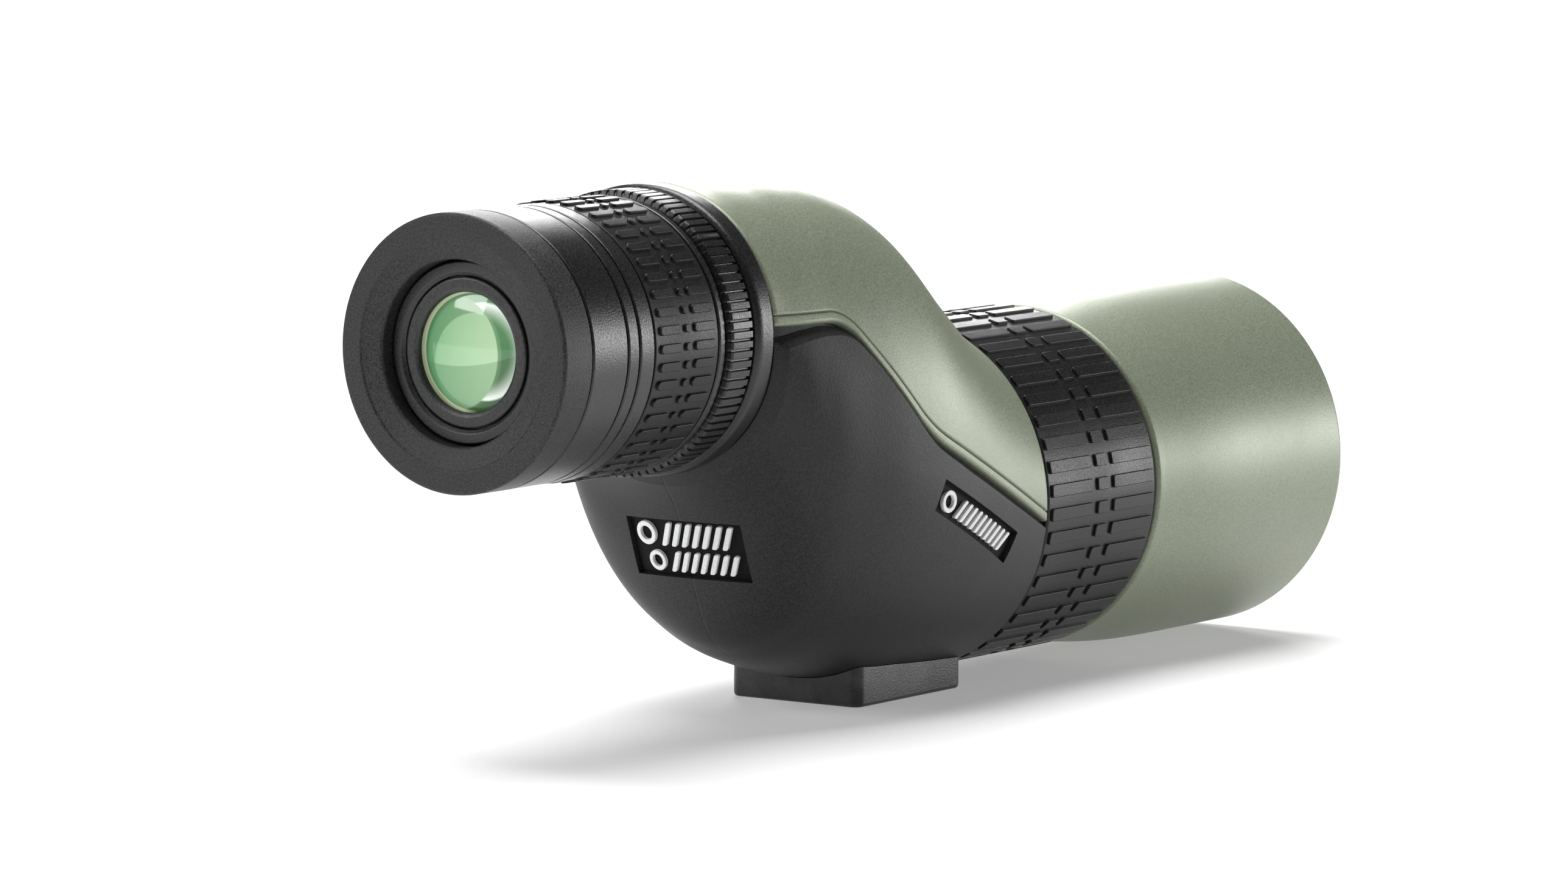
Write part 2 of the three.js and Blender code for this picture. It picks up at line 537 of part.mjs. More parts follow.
addPiece('zoom_ring_core', 'satinBlack', toGeometry(toSolid(turned([
  [BARREL_TUBE_R + GAP, -101.1], [23.9, -101.1], [23.9, -77.3], [25.3, -77.3], [25.3, -75.3],
  [BARREL_TUBE_R + GAP, -75.3],
], EYEPIECE_Z)).subtract(driveHole)));
addPiece('zoom_drive_screw', 'steel',
  rod(1.3, [0, DRIVE_SCREW_Y, EYEPIECE_Z + 17.5], [0, DRIVE_SCREW_Y, EYEPIECE_Z + 23.4]));
addPiece('zoom_scale_ring', 'satinBlack', ring(EYE_R, 24.2, -101.1, -96.9, EYEPIECE_Z));
addPiece('zoom_ring_rubber', 'gripRubber', ring(EYE_R, 24.2, -96.6, -77.6, EYEPIECE_Z));
addPiece('index_ring', 'satinBlack', ring(EYE_R, BARREL_TUBE_R + GAP, -104.5, -101.4, EYEPIECE_Z));

// ---------------------------------------------------------------- twist-up eyecup
addPiece('eyecup_guide', 'mattBlack',
  ring(21.6, BARREL_TUBE_R + GAP, -114.6, -104.8, EYEPIECE_Z, MEDIUM));
addPiece('eyecup_carrier', 'mattBlack', ring(22.7, 21.9, -114.4, -104.9, EYEPIECE_Z, MEDIUM));
addPiece('eyecup_sleeve', 'satinBlack', turned([
  [23.0, -104.8], [EYE_R, -104.8], [EYE_R, -115.1], [23.8, -115.1],
  [23.8, -120.4], [20.2, -120.4], [20.2, -115.1], [23.0, -115.1],
], EYEPIECE_Z));
addPiece('eyecup_rubber', 'eyecupRubber', turned([
  [24.1, -115.4], [EYE_R, -115.4], [EYE_R, -122.7], [24.9, -123.2], [24.4, REAR_Y], [20.9, REAR_Y],
  [16.8, -122.3], [16.8, -116.2], [19.9, -116.2], [19.9, -120.7], [24.1, -120.7],
], EYEPIECE_Z));

// ---------------------------------------------------------------- eye lens group
addPiece('eye_lens_cell', 'mattBlack', turned([
  [12.6, -105.0], [18.5, -105.0], [18.5, -111.6], [16.4, -111.6],
  [16.4, -119.7], [13.8, -119.7], [13.8, -118.0], [12.6, -118.0],
], EYEPIECE_Z, MEDIUM));
addPiece('eye_lens_rear', 'coatedGlass',
  lens(12.3, { rim: -111.4, vertex: -111.9 }, { rim: -107.4, vertex: -106.0 }, EYEPIECE_Z, COARSE));
addPiece('eye_lens_front', 'coatedGlass',
  lens(12.3, { rim: -117.0, vertex: -119.0 }, { rim: -113.2, vertex: -113.1 }, EYEPIECE_Z, COARSE));
addPiece('eye_lens_retainer', 'mattBlack', ring(13.5, 10.8, -119.5, -118.3, EYEPIECE_Z, MEDIUM));

export default scope;
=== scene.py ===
"""Looks of the compact straight zoom spotting scope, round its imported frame. +Z up, +Y out of the objective."""
import json
import math

import bmesh
import bpy
import numpy as np
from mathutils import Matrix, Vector


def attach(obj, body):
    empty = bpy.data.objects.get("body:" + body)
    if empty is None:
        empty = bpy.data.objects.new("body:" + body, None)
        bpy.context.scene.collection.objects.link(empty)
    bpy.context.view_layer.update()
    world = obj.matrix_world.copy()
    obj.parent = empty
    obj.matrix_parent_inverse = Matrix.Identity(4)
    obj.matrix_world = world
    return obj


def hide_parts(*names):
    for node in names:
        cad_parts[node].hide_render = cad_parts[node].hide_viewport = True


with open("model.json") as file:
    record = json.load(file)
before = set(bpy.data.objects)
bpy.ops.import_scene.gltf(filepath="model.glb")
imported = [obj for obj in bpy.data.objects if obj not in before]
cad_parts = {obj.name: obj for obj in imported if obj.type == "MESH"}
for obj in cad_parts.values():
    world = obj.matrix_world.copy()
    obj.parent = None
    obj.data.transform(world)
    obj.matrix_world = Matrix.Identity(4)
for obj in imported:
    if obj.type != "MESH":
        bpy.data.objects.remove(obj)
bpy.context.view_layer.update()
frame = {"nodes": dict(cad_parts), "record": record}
NODES = frame["nodes"]
MM = 0.001

# ------------------------------------------------------------------ sizes, in millimetres
OBJECTIVE_Z = 36.7
EYEPIECE_Z = 74.7
FRONT_Y = 123.4
REAR_Y = -123.4
HOUSING_REAR_Y = -62.5
HOUSING_FRONT_Y = 17.7
SEAT_R = 27.1
INDEX_R = 25.2        # the band with the index mark
SCALE_R = 25.25       # the band with the zoom numbers
FINE = 256            # facets round a large ring
MEDIUM = 128

FOCUS_ROWS = 46       # rows of bars round the focus ring
FOCUS_BASE_R = 33.45
ZOOM_ROWS = 48
ZOOM_BASE_R = 25.2
KNURLS = 92
PER_METRE = 1000.0    # turns a size in millimetres into a texture scale
PHOTO_CAMERA = {"azimuth": 35.37, "elevation": 6.17, "place": (0.78888, -1.13298, 0.19752), "lens": 166.4}


# ------------------------------------------------------------------ node materials
class Nodes:
    """A short way to write a material's node tree."""

    def __init__(self, name):
        self.material = bpy.data.materials.new(name)
        self.material.use_nodes = True
        self.tree = self.material.node_tree
        self.shader = self.tree.nodes["Principled BSDF"]
        self.place = self.add("ShaderNodeTexCoord").outputs["Object"]

    def add(self, kind, inputs=None, **settings):
        node = self.tree.nodes.new(kind)
        for key, value in settings.items():
            setattr(node, key, value)
        for key, value in (inputs or {}).items():
            self.feed(node.inputs[key], value)
        return node

    def feed(self, socket, value):
        if isinstance(value, bpy.types.NodeSocket):
            self.tree.links.new(value, socket)
        else:
            socket.default_value = value

    def noise(self, size_mm, detail=3.0, roughness=0.55, place=None):
        node = self.add("ShaderNodeTexNoise", {
            "Vector": place or self.place, "Scale": PER_METRE / size_mm, "Detail": detail,
            "Roughness": roughness})
        return node.outputs["Fac"]

    def cells(self, size_mm):
        node = self.add("ShaderNodeTexVoronoi", {"Vector": self.place, "Scale": PER_METRE / size_mm})
        return node.outputs["Distance"]

    def ramp(self, value, low, high, to_low=0.0, to_high=1.0):
        node = self.add("ShaderNodeMapRange", {
            "Value": value, "From Min": low, "From Max": high, "To Min": to_low, "To Max": to_high})
        return node.outputs["Result"]

    def math(self, operation, a, b=0.0):
        return self.add("ShaderNodeMath", {0: a, 1: b}, operation=operation).outputs[0]

    def mix(self, factor, a, b):
        node = self.add("ShaderNodeMix", data_type="RGBA")
        self.feed(node.inputs[0], factor)
        self.feed(node.inputs[6], a)
        self.feed(node.inputs[7], b)
        return node.outputs[2]

    def bump(self, height, distance_mm, strength):
        node = self.add("ShaderNodeBump", {
            "Height": height, "Distance": distance_mm * MM, "Strength": strength})
        return node.outputs["Normal"]

    def wear(self):
        """Patches of rubbed edge."""
        pointiness = self.add("ShaderNodeNewGeometry").outputs["Pointiness"]
        patches = self.noise(9.0, 4.0)
        edge = self.ramp(pointiness, 0.53, 0.6)
        return self.math("MULTIPLY", edge, self.ramp(patches, 0.4, 0.65))

    def finish(self, **sockets):
        """Feeds the shader's own sockets: Base_Color stands for Base Color."""
        for name, value in sockets.items():
            self.feed(self.shader.inputs[name.replace("_", " ")], value)
        return self.material


def grained(name, dark, light, grain_mm, depth_mm, roughness, metallic=0.0, worn=None, patch=0.06, level=0.5):
    """A finish with fine grain in colour, roughness and bump, and slow patches over the piece."""
    n = Nodes(name)
    grain = n.noise(grain_mm, 3.0, 0.6)
    slow = n.noise(28.0, 3.0)
    colour = n.mix(n.ramp(grain, 0.32, 0.68), (*dark, 1), (*light, 1))
    shade = tuple(max(0.0, (a + b) * 0.5 * 0.72) for a, b in zip(dark, light))
    colour = n.mix(n.ramp(slow, 0.35, 0.7, 0.0, patch * 3), colour, (*shade, 1))
    if worn:
        colour = n.mix(n.wear(), colour, (*worn, 1))
    rough = n.math("ADD", n.ramp(grain, 0.3, 0.7, roughness - 0.06, roughness + 0.08),
                   n.ramp(slow, 0.3, 0.7, -patch, patch))
    normal = n.bump(grain, depth_mm, 0.8)
    return n.finish(Base_Color=colour, Roughness=rough, Metallic=metallic, Normal=normal,
                    Specular_IOR_Level=level)


def green_paint():
    """Sage green paint with a fine metallic sparkle."""
    n = Nodes("green_paint")
    grain = n.noise(0.42, 4.0, 0.7)
    flakes = n.cells(0.34)
    slow = n.noise(40.0, 3.0)
    colour = n.mix(n.ramp(grain, 0.33, 0.67), (0.170, 0.198, 0.132, 1), (0.280, 0.305, 0.232, 1))
    colour = n.mix(n.ramp(flakes, 0.24, 0.05, 0.0, 0.45), colour, (0.52, 0.54, 0.48, 1))
    colour = n.mix(n.ramp(slow, 0.35, 0.7, 0.0, 0.12), colour, (0.185, 0.215, 0.143, 1))
    rough = n.math("ADD", n.ramp(grain, 0.3, 0.7, 0.36, 0.50), n.ramp(slow, 0.3, 0.7, -0.03, 0.03))
    normal = n.bump(grain, 0.05, 0.8)
    return n.finish(Base_Color=colour, Roughness=rough, Metallic=0.28, Normal=normal, Coat_Weight=0.10,
                    Coat_Roughness=0.30)


def armour_rubber():
    """Overmoulded rubber with a leathery micro grain and the mould's seam down the middle of the belly."""
    n = Nodes("armour_rubber")
    grain = n.noise(0.42, 4.0, 0.65)
    slow = n.noise(30.0, 3.0)
    colour = n.mix(n.ramp(grain, 0.33, 0.67), (0.004, 0.004, 0.0045, 1), (0.030, 0.030, 0.031, 1))
    colour = n.mix(n.ramp(slow, 0.35, 0.7, 0.0, 0.25), colour, (0.010, 0.010, 0.0105, 1))
    across = n.add("ShaderNodeSeparateXYZ", {"Vector": n.place}).outputs["X"]
    seam = n.ramp(n.math("ABSOLUTE", across), 0.00004, 0.00022, 1.0, 0.0)
    height = n.math("SUBTRACT", n.math("MULTIPLY", grain, 0.55), n.math("MULTIPLY", seam, 0.6))
    rough = n.math("ADD", n.ramp(grain, 0.3, 0.7, 0.38, 0.54), n.ramp(slow, 0.3, 0.7, -0.03, 0.03))
    normal = n.bump(height, 0.10, 0.9)
    return n.finish(Base_Color=colour, Roughness=rough, Normal=normal, Specular_IOR_Level=0.30)


def brushed(name, base, roughness=0.3):
    """Bright metal with lathe or rolling marks."""
    n = Nodes(name)
    stretch = n.add("ShaderNodeMapping", {"Vector": n.place, "Scale": (1.0, 14.0, 1.0)}).outputs["Vector"]
    lines = n.noise(1.2, 4.0, 0.6, stretch)
    grime = n.noise(5.0, 3.0)
    colour = n.mix(n.ramp(grime, 0.45, 0.75, 0.0, 0.35), (*base, 1), tuple(c * 0.6 for c in base) + (1,))
    rough = n.ramp(lines, 0.3, 0.7, roughness - 0.08, roughness + 0.12)
    return n.finish(Base_Color=colour, Roughness=rough, Metallic=1.0, Normal=n.bump(lines, 0.01, 0.5))


def coated_glass(name, tint, coating, level=1.0):
    """Lens glass whose coating reflects in its own colour. Faint smudges break up the polish."""
    n = Nodes(name)
    smudge = n.noise(6.0, 3.0)
    rough = n.ramp(smudge, 0.4, 0.8, 0.0, 0.03)
    return n.finish(Base_Color=(*tint, 1), Roughness=rough, IOR=1.52, Specular_IOR_Level=level,
                    Specular_Tint=(*coating, 1), Transmission_Weight=1.0)


def eye_lens_coating():
    """Green eye lens with a painted, glowing pattern that stands for reflections of the lenses behind it: pale
    rounds, a painted near-white crescent highlight on the +X side, a painted pale edge on the -X side, painted
    light towards +X and the top, and painted shade below a curved line. It is fixed to the lens: the shader and
    the lights don't make it. Sizes in millimetres."""
    n = Nodes("eye_lens_coating")
    axes = n.add("ShaderNodeSeparateXYZ", {"Vector": n.place}).outputs
    across = n.math("MULTIPLY", axes["X"], PER_METRE)
    up = n.math("MULTIPLY", n.math("SUBTRACT", axes["Z"], EYEPIECE_Z * MM), PER_METRE)
    image_r, middle_r, ring_r = 10.3, 9.6, 8.75
    ring_centre = (2.9, 0.2)
    edge_start, edge_end = 10.35, 10.5

    def distance(centre_across, centre_up):
        a = n.math("POWER", n.math("SUBTRACT", across, centre_across), 2.0)
        b = n.math("POWER", n.math("SUBTRACT", up, centre_up), 2.0)
        return n.math("SQRT", n.math("ADD", a, b))

    def inside(centre_across, centre_up, radius, soft=0.12):
        return n.ramp(distance(centre_across, centre_up), radius + soft, radius - soft)

    # painted light: the reflected images get lighter towards +X
    painted_light_sweep = n.ramp(across, -9.0, 9.0)
    # painted shade: the reflections are darker below a curved line across the lens
    bend = n.math("POWER", n.math("ADD", across, 4.0), 2.0)
    horizon = n.math("ADD", n.math("MULTIPLY", bend, 0.0122), -2.6)
    below = n.ramp(n.math("SUBTRACT", horizon, up), -0.08, 0.08)
    rear_image = inside(-3.9, -0.3, image_r)
    echo = inside(-3.2, -0.3, image_r)
    middle_image = inside(1.6, -2.5, middle_r)
    # painted highlight: a near-white crescent on the +X side of the lens
    outer_ring = n.ramp(distance(*ring_centre), 5.6, 8.5)
    painted_crescent_highlight = n.math("MULTIPLY", n.math("POWER", outer_ring, 1.7), inside(*ring_centre, ring_r, 0.2))

    # painted light and shade: outside the reflected images the lens is lighter towards the top and darker below
    # the curved line
    far = n.mix(n.ramp(up, -8.0, 8.0), (0.050, 0.15, 0.048, 1), (0.13, 0.28, 0.14, 1))
    far = n.mix(n.math("MULTIPLY", below, 0.6), far, (0.040, 0.11, 0.036, 1))
    far = n.mix(painted_crescent_highlight, far, (0.86, 0.95, 0.86, 1))
    near = n.mix(painted_light_sweep, (0.110, 0.270, 0.125, 1), (0.300, 0.440, 0.260, 1))
    lit = n.mix(painted_light_sweep, (0.200, 0.400, 0.205, 1), (0.480, 0.660, 0.430, 1))
    near = n.mix(middle_image, near, lit)
    shaded = n.mix(painted_light_sweep, (0.085, 0.235, 0.100, 1), (0.270, 0.430, 0.240, 1))
    near = n.mix(n.math("MULTIPLY", below, 0.75), near, shaded)
    colour = n.mix(n.math("MULTIPLY", echo, 0.18), far, near)
    colour = n.mix(rear_image, colour, near)
    # painted highlight: a pale band round the lens edge on the -X side
    rim = n.math("MULTIPLY", n.ramp(distance(0.0, 0.0), edge_start, edge_end), n.ramp(across, 1.0, -2.0))
    colour = n.mix(rim, colour, (0.62, 0.70, 0.44, 1))
    smudge = n.noise(4.0, 3.0)
    rough = n.ramp(smudge, 0.35, 0.75, 0.05, 0.10)
    # painted light: the pattern glows in its own colour, though the lens is no lamp
    return n.finish(Base_Color=colour, Emission_Color=colour, Emission_Strength=0.30, Roughness=rough,
                    Normal=n.bump(smudge, 0.004, 0.2), Coat_Weight=0.2, Coat_Roughness=0.03,
                    Specular_IOR_Level=0.35)


MATERIALS = {
    "green_paint": green_paint(),
    "armour_rubber": armour_rubber(),
    "grip_rubber": grained("grip_rubber", (0.003, 0.003, 0.003), (0.017, 0.017, 0.0175), 0.36, 0.05, 0.40,
                           level=0.28),
    "eyecup_rubber": grained("eyecup_rubber", (0.004, 0.004, 0.0045), (0.048, 0.048, 0.049), 0.34, 0.12, 0.46,
                             level=0.30),
    "seal_rubber": grained("seal_rubber", (0.006, 0.006, 0.006), (0.014, 0.014, 0.014), 0.5, 0.01, 0.4),
    "satin_black_metal": grained("satin_black_metal", (0.002, 0.002, 0.002), (0.018, 0.018, 0.0185), 0.34,
                                 0.06, 0.32, worn=(0.10, 0.10, 0.10), patch=0.03),
    "housing_casting": grained("housing_casting", (0.04, 0.04, 0.043), (0.07, 0.07, 0.074), 0.7, 0.05, 0.6,
                               metallic=0.4),
    "matt_black_metal": grained("matt_black_metal", (0.006, 0.006, 0.006), (0.030, 0.030, 0.031), 0.45, 0.08,
                                0.42),
    "black_plastic": grained("black_plastic", (0.015, 0.015, 0.015), (0.03, 0.03, 0.03), 0.5, 0.02, 0.42),
    "coated_glass": coated_glass("coated_glass", (0.86, 0.97, 0.87), (0.30, 0.92, 0.38)),
    "clear_glass": coated_glass("clear_glass", (0.93, 0.98, 0.96), (0.85, 0.95, 1.0), 0.6),
    "spring_steel": brushed("spring_steel", (0.58, 0.59, 0.60)),
    "screw_steel": brushed("screw_steel", (0.46, 0.47, 0.48), 0.35),
    "bush_brass": brushed("bush_brass", (0.60, 0.44, 0.20), 0.32),
    "badge_plate": grained("badge_plate", (0.002, 0.002, 0.002), (0.007, 0.007, 0.007), 0.4, 0.02, 0.60,
                           level=0.12),
    # eye lens: green coating with painted reflections, painted highlights, painted shade and a painted glow
    "eye_lens_coating": eye_lens_coating(),
    "mark_paint": grained("mark_paint", (0.78, 0.79, 0.78), (0.92, 0.93, 0.92), 0.5, 0.01, 0.5),
}
SLOT_OF = {part["node"]: part["material_slot"] for part in frame["record"]["subparts"]}
BODY_OF = {node: body for body, members in frame["record"]["behaviour"]["bodies"].items() for node in members}

for node_name, node_object in NODES.items():
    node_object.data.materials.clear()
    node_object.data.materials.append(MATERIALS[SLOT_OF[node_name]])


# ------------------------------------------------------------------ mesh helpers
def new_object(name, data):
    made = bpy.data.objects.new(name, data)
    bpy.context.scene.collection.objects.link(made)
    return made


def face_outward(mesh):
    edit = bmesh.new()
    edit.from_mesh(mesh)
    bmesh.ops.recalc_face_normals(edit, faces=edit.faces)
    edit.to_mesh(mesh)
    edit.free()


def keep_even_normals(piece):
    modifier = piece.modifiers.new("even_normals", "WEIGHTED_NORMAL")
    modifier.keep_sharp = True


def make_piece(name, vertices, faces, material, body, replaces=(), slot=None, sharp=38, weighted=True):
    """A finished mesh piece from points in millimetres, riding on a body and standing for CAD nodes."""
    mesh = bpy.data.meshes.new(name)
    mesh.from_pydata([tuple(v) for v in np.asarray(vertices) * MM], [], [tuple(f) for f in faces])
    mesh.validate()
    face_outward(mesh)
    mesh.shade_smooth()
    mesh.set_sharp_from_angle(angle=math.radians(sharp))
    piece = new_object(name, mesh)
    mesh.materials.append(MATERIALS[material])
    if weighted:
        keep_even_normals(piece)
    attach(piece, body)
    if replaces:
        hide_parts(*replaces)
    slot or material
    return piece


def fillet(profile):
    """Rounds the corners of a closed outline. A point is (a, b) or (a, b, radius)."""
    steps, usual_radius, longest_share, least_reach = 4, 0.2, 0.45, 0.02
    rounded = []
    count = len(profile)
    for i, corner in enumerate(profile):
        here = np.array(corner[:2], float)
        radius = corner[2] if len(corner) > 2 else usual_radius
        before = np.array(profile[i - 1][:2], float) - here
        after = np.array(profile[(i + 1) % count][:2], float) - here
        reach = min(radius, longest_share * np.linalg.norm(before), longest_share * np.linalg.norm(after))
        if reach < least_reach:
            rounded.append(here)
            continue
        start = here + before / np.linalg.norm(before) * reach
        end = here + after / np.linalg.norm(after) * reach
        for t in np.linspace(0, 1, steps + 1):
            rounded.append((1 - t) ** 2 * start + 2 * t * (1 - t) * here + t ** 2 * end)
    return rounded


def grid_faces(rows, columns, wrap_rows, wrap_columns, offset=0):
    faces = []
    for i in range(rows if wrap_rows else rows - 1):
        for j in range(columns if wrap_columns else columns - 1):
            a = i * columns + j
            b = i * columns + (j + 1) % columns
            c = ((i + 1) % rows) * columns + (j + 1) % columns
            d = ((i + 1) % rows) * columns + j
            faces.append((a + offset, b + offset, c + offset, d + offset))
    return faces


def sheet_faces(rows, columns):
    """Faces of a closed sheet: a grid of points, the same grid for its back, and the rim between them."""
    offset = rows * columns
    faces = grid_faces(rows, columns, False, False)
    faces += [face[::-1] for face in grid_faces(rows, columns, False, False, offset)]
    rim = list(range(columns))
    rim += [row * columns + columns - 1 for row in range(1, rows)]
    rim += [(rows - 1) * columns + column for column in range(columns - 2, -1, -1)]
    rim += [row * columns for row in range(rows - 2, 0, -1)]
    faces += [(a, a + offset, b + offset, b) for a, b in zip(rim, rim[1:] + rim[:1])]
    return faces


def tube_faces(rings, count):
    """Faces of a closed body made of rings of count points, capped at both ends."""
    faces = grid_faces(rings, count, False, True)
    faces.append(tuple(range(count))[::-1])
    faces.append(tuple((rings - 1) * count + i for i in range(count)))
    return faces


def turned(profile, axis_z, segments=FINE, radial=None):
    """Points and faces of a closed [radius, y] outline turned about an optical axis. radial(r, angles) may
    change the radius of its points."""
    outline = fillet(profile)
    angles = np.linspace(0, 2 * math.pi, segments, endpoint=False)
    vertices = []
    for r, y in outline:
        radii = np.full(segments, r) if radial is None else radial(r, angles)
        across, up = radii * np.sin(angles), axis_z + radii * np.cos(angles)
        vertices.append(np.stack([across, np.full(segments, y), up], 1))
    return np.concatenate(vertices), grid_faces(len(outline), segments, True, True)


def turned_piece(name, profile, axis_z, material, node, segments=FINE, radial=None, extra=None):
    vertices, faces = turned(profile, axis_z, segments, radial)
    if extra:
        vertices, faces = joined([(vertices, faces), *extra])
    return make_piece(name, vertices, faces, material, BODY_OF[node], (node,), SLOT_OF[node])


def joined(parts):
    vertices, faces, offset = [], [], 0
    for points, polygons in parts:
        vertices.append(np.asarray(points))
        faces += [tuple(i + offset for i in polygon) for polygon in polygons]
        offset += len(points)
    return np.concatenate(vertices), faces


def rounded_rectangle(length, width, corner, steps=4):
    """Outline centred on the origin, long side along the first axis."""
    outline = []
    centres = [(1, 1, 0), (-1, 1, 90), (-1, -1, 180), (1, -1, 270)]
    for sign_a, sign_b, start in centres:
        for step in range(steps + 1):
            angle = math.radians(start + 90 * step / steps)
            outline.append((sign_a * (length / 2 - corner) + corner * math.cos(angle),
                            sign_b * (width / 2 - corner) + corner * math.sin(angle)))
    return np.array(outline)


def raised_pad(outline, levels, place):
    """A closed pad: the outline, shrunk by each level's inset at that level's height. place(a, b, height) sets
    it down."""
    count = len(outline)
    vertices = []
    half = np.abs(outline).max(0)
    for inset, height in levels:
        scale = (half - inset) / half
        vertices += [place(a * scale[0], b * scale[1], height) for a, b in outline]
    return np.array(vertices), tube_faces(len(levels), count)


def on_ring(axis_z, radius, y_middle, angle_middle):
    """Maps (along the axis, round the ring, height) to a place on a ring."""
    def place(along, around, height):
        angle = angle_middle + around / radius
        r = radius + height
        return (r * math.sin(angle), y_middle + along, axis_z + r * math.cos(angle))
    return place


def bar_rows(rows, bars, axis_z, radius, levels):
    """Rows of raised bars. bars lists (rear y, front y, width, corner radius)."""
    pads = []
    for row in range(rows):
        angle = 2 * math.pi * row / rows
        for rear, front, width, corner in bars:
            outline = rounded_rectangle(front - rear, width, corner)
            pads.append(raised_pad(outline, levels, on_ring(axis_z, radius, (rear + front) / 2, angle)))
    return pads


# ------------------------------------------------------------------ housing surface
# y, crown height, belly height, half width, height of the widest point, powers of the upper and lower oval.
STATIONS = np.array([
    (HOUSING_REAR_Y, EYEPIECE_Z + SEAT_R, EYEPIECE_Z - SEAT_R, SEAT_R, EYEPIECE_Z, 2.0, 2.0),
    (-59, 101.8, 44.5, 28.5, 70.0, 2.0, 2.05),
    (-55, 101.8, 38.0, 30.0, 65.0, 2.05, 2.1),
    (-51, 101.7, 26.5, 31.1, 61.2, 2.1, 2.1),
    (-47, 101.6, 17.5, 32.1, 58.0, 2.1, 2.1),
    (-40, 101.4, 11.5, 33.3, 54.0, 2.2, 2.1),
    (-30, 100.4, 7.5, 34.8, 49.4, 2.3, 2.1),
    (-18, 95.4, 4.8, 35.6, 45.4, 2.45, 2.1),
    (-6, 85.3, 4.2, 35.6, 41.4, 2.35, 2.1),
    (6, 76.6, 3.4, 35.0, 38.6, 2.15, 2.05),
    (HOUSING_FRONT_Y, 70.7, 2.7, 34.0, OBJECTIVE_Z, 2.0, 2.0),
])


def station(y):
    """The section's numbers at y, by the Hermite curve through the stations. Slopes come from neighbours."""
    knots, values = STATIONS[:, 0], STATIONS[:, 1:]
    secants = np.diff(values, axis=0) / np.diff(knots)[:, None]
    slopes = np.concatenate([secants[:1], (secants[1:] + secants[:-1]) / 2, secants[-1:]])
    i = int(np.clip(np.searchsorted(knots, y) - 1, 0, len(knots) - 2))
    width = knots[i + 1] - knots[i]
    t = (y - knots[i]) / width
    return ((2 * t ** 3 - 3 * t ** 2 + 1) * values[i] + (t ** 3 - 2 * t ** 2 + t) * width * slopes[i]
            + (3 * t ** 2 - 2 * t ** 3) * values[i + 1] + (t ** 3 - t ** 2) * width * slopes[i + 1])


def skin(y, angle):
    """Points of the outer surface at one y for an array of angles. Angle 0 is +X, a quarter turn is up."""
    crown, belly, half_width, wide, top_power, bottom_power = station(y)
    cos, sin = np.cos(angle), np.sin(angle)
    power = np.where(sin >= 0, 2 / top_power, 2 / bottom_power)
    height = np.where(sin >= 0, crown - wide, wide - belly)
    x = half_width * np.sign(cos) * np.abs(cos) ** power
    z = wide + height * np.sign(sin) * np.abs(sin) ** power
    return np.stack([x, np.full_like(x, y), z], -1)


def skin_normal(y, angle):
    step = 0.02
    along = skin(min(y + step, HOUSING_FRONT_Y), angle) - skin(max(y - step, HOUSING_REAR_Y), angle)
    around = skin(y, angle + step) - skin(y, angle - step)
    normal = np.cross(along, around)
    return normal / np.linalg.norm(normal, axis=-1, keepdims=True)


def quadratic(start, corner, end):
    t = np.linspace(0, 1, 12)[:, None]
    start, corner, end = (np.array(p, float) for p in (start, corner, end))
    return (1 - t) ** 2 * start + 2 * t * (1 - t) * corner + t ** 2 * end


PARTING = np.concatenate([
    [(-80, 76.5)], quadratic((-48, 76.5), (-44, 76.5), (-41, 73.2)),
    quadratic((-27, 57.5), (-23.5, 53.5), (-18, 50.8)), [(30, 27.2)]])


def parting_angle(y):
    """Angle on the +X side where the shell meets the armour."""
    crown, belly, _, wide, top_power, bottom_power = station(y)
    z = np.interp(y, PARTING[:, 0], PARTING[:, 1])
    if z >= wide:
        return math.asin(min(1.0, ((z - wide) / (crown - wide)) ** (top_power / 2)))
    return -math.asin(min(1.0, ((wide - z) / (wide - belly)) ** (bottom_power / 2)))


def spread_rows(rear_details, front_details, step=1.0):
    """Row positions along y, close together where an edge has detail."""
    rear = HOUSING_REAR_Y + np.array(rear_details)
    front = HOUSING_FRONT_Y - np.array(front_details)[::-1]
    middle = np.arange(rear[-1] + step, front[0] - step / 2, step)
    return np.concatenate([rear, middle, front])


def skin_panel(name, rows, edge_steps, start_angle, end_angle, lift, thickness, material, node, columns):
    """A panel of the housing skin between two edges. edge_steps(y) lists distances in from each long edge.
    lift(y, from_start, from_end) gives the height of each point over the skin."""
    samples = 500         # points along a section, to measure its length
    outer, inner = [], []
    for y in rows:
        steps = np.array(edge_steps(y))
        fine = np.linspace(start_angle(y), end_angle(y), samples)
        points = skin(y, fine)
        length = np.concatenate([[0], np.cumsum(np.linalg.norm(np.diff(points, axis=0), axis=1))])
        total = length[-1]
        inside = np.linspace(steps[-1], total - steps[-1], columns)[1:-1]
        places = np.concatenate([steps, inside, total - steps[::-1]])
        angles = np.interp(places, length, fine)
        normal = skin_normal(y, angles)
        surface = skin(y, angles)
        height = lift(y, places, total - places)
        outer.append(surface + normal * height[:, None])
        inner.append(surface - normal * thickness)
    vertices = np.concatenate(outer + inner)
    faces = sheet_faces(len(rows), len(outer[0]))
    return make_piece(name, vertices, faces, material, BODY_OF[node], (node,), SLOT_OF[node], sharp=50,
                      weighted=False)


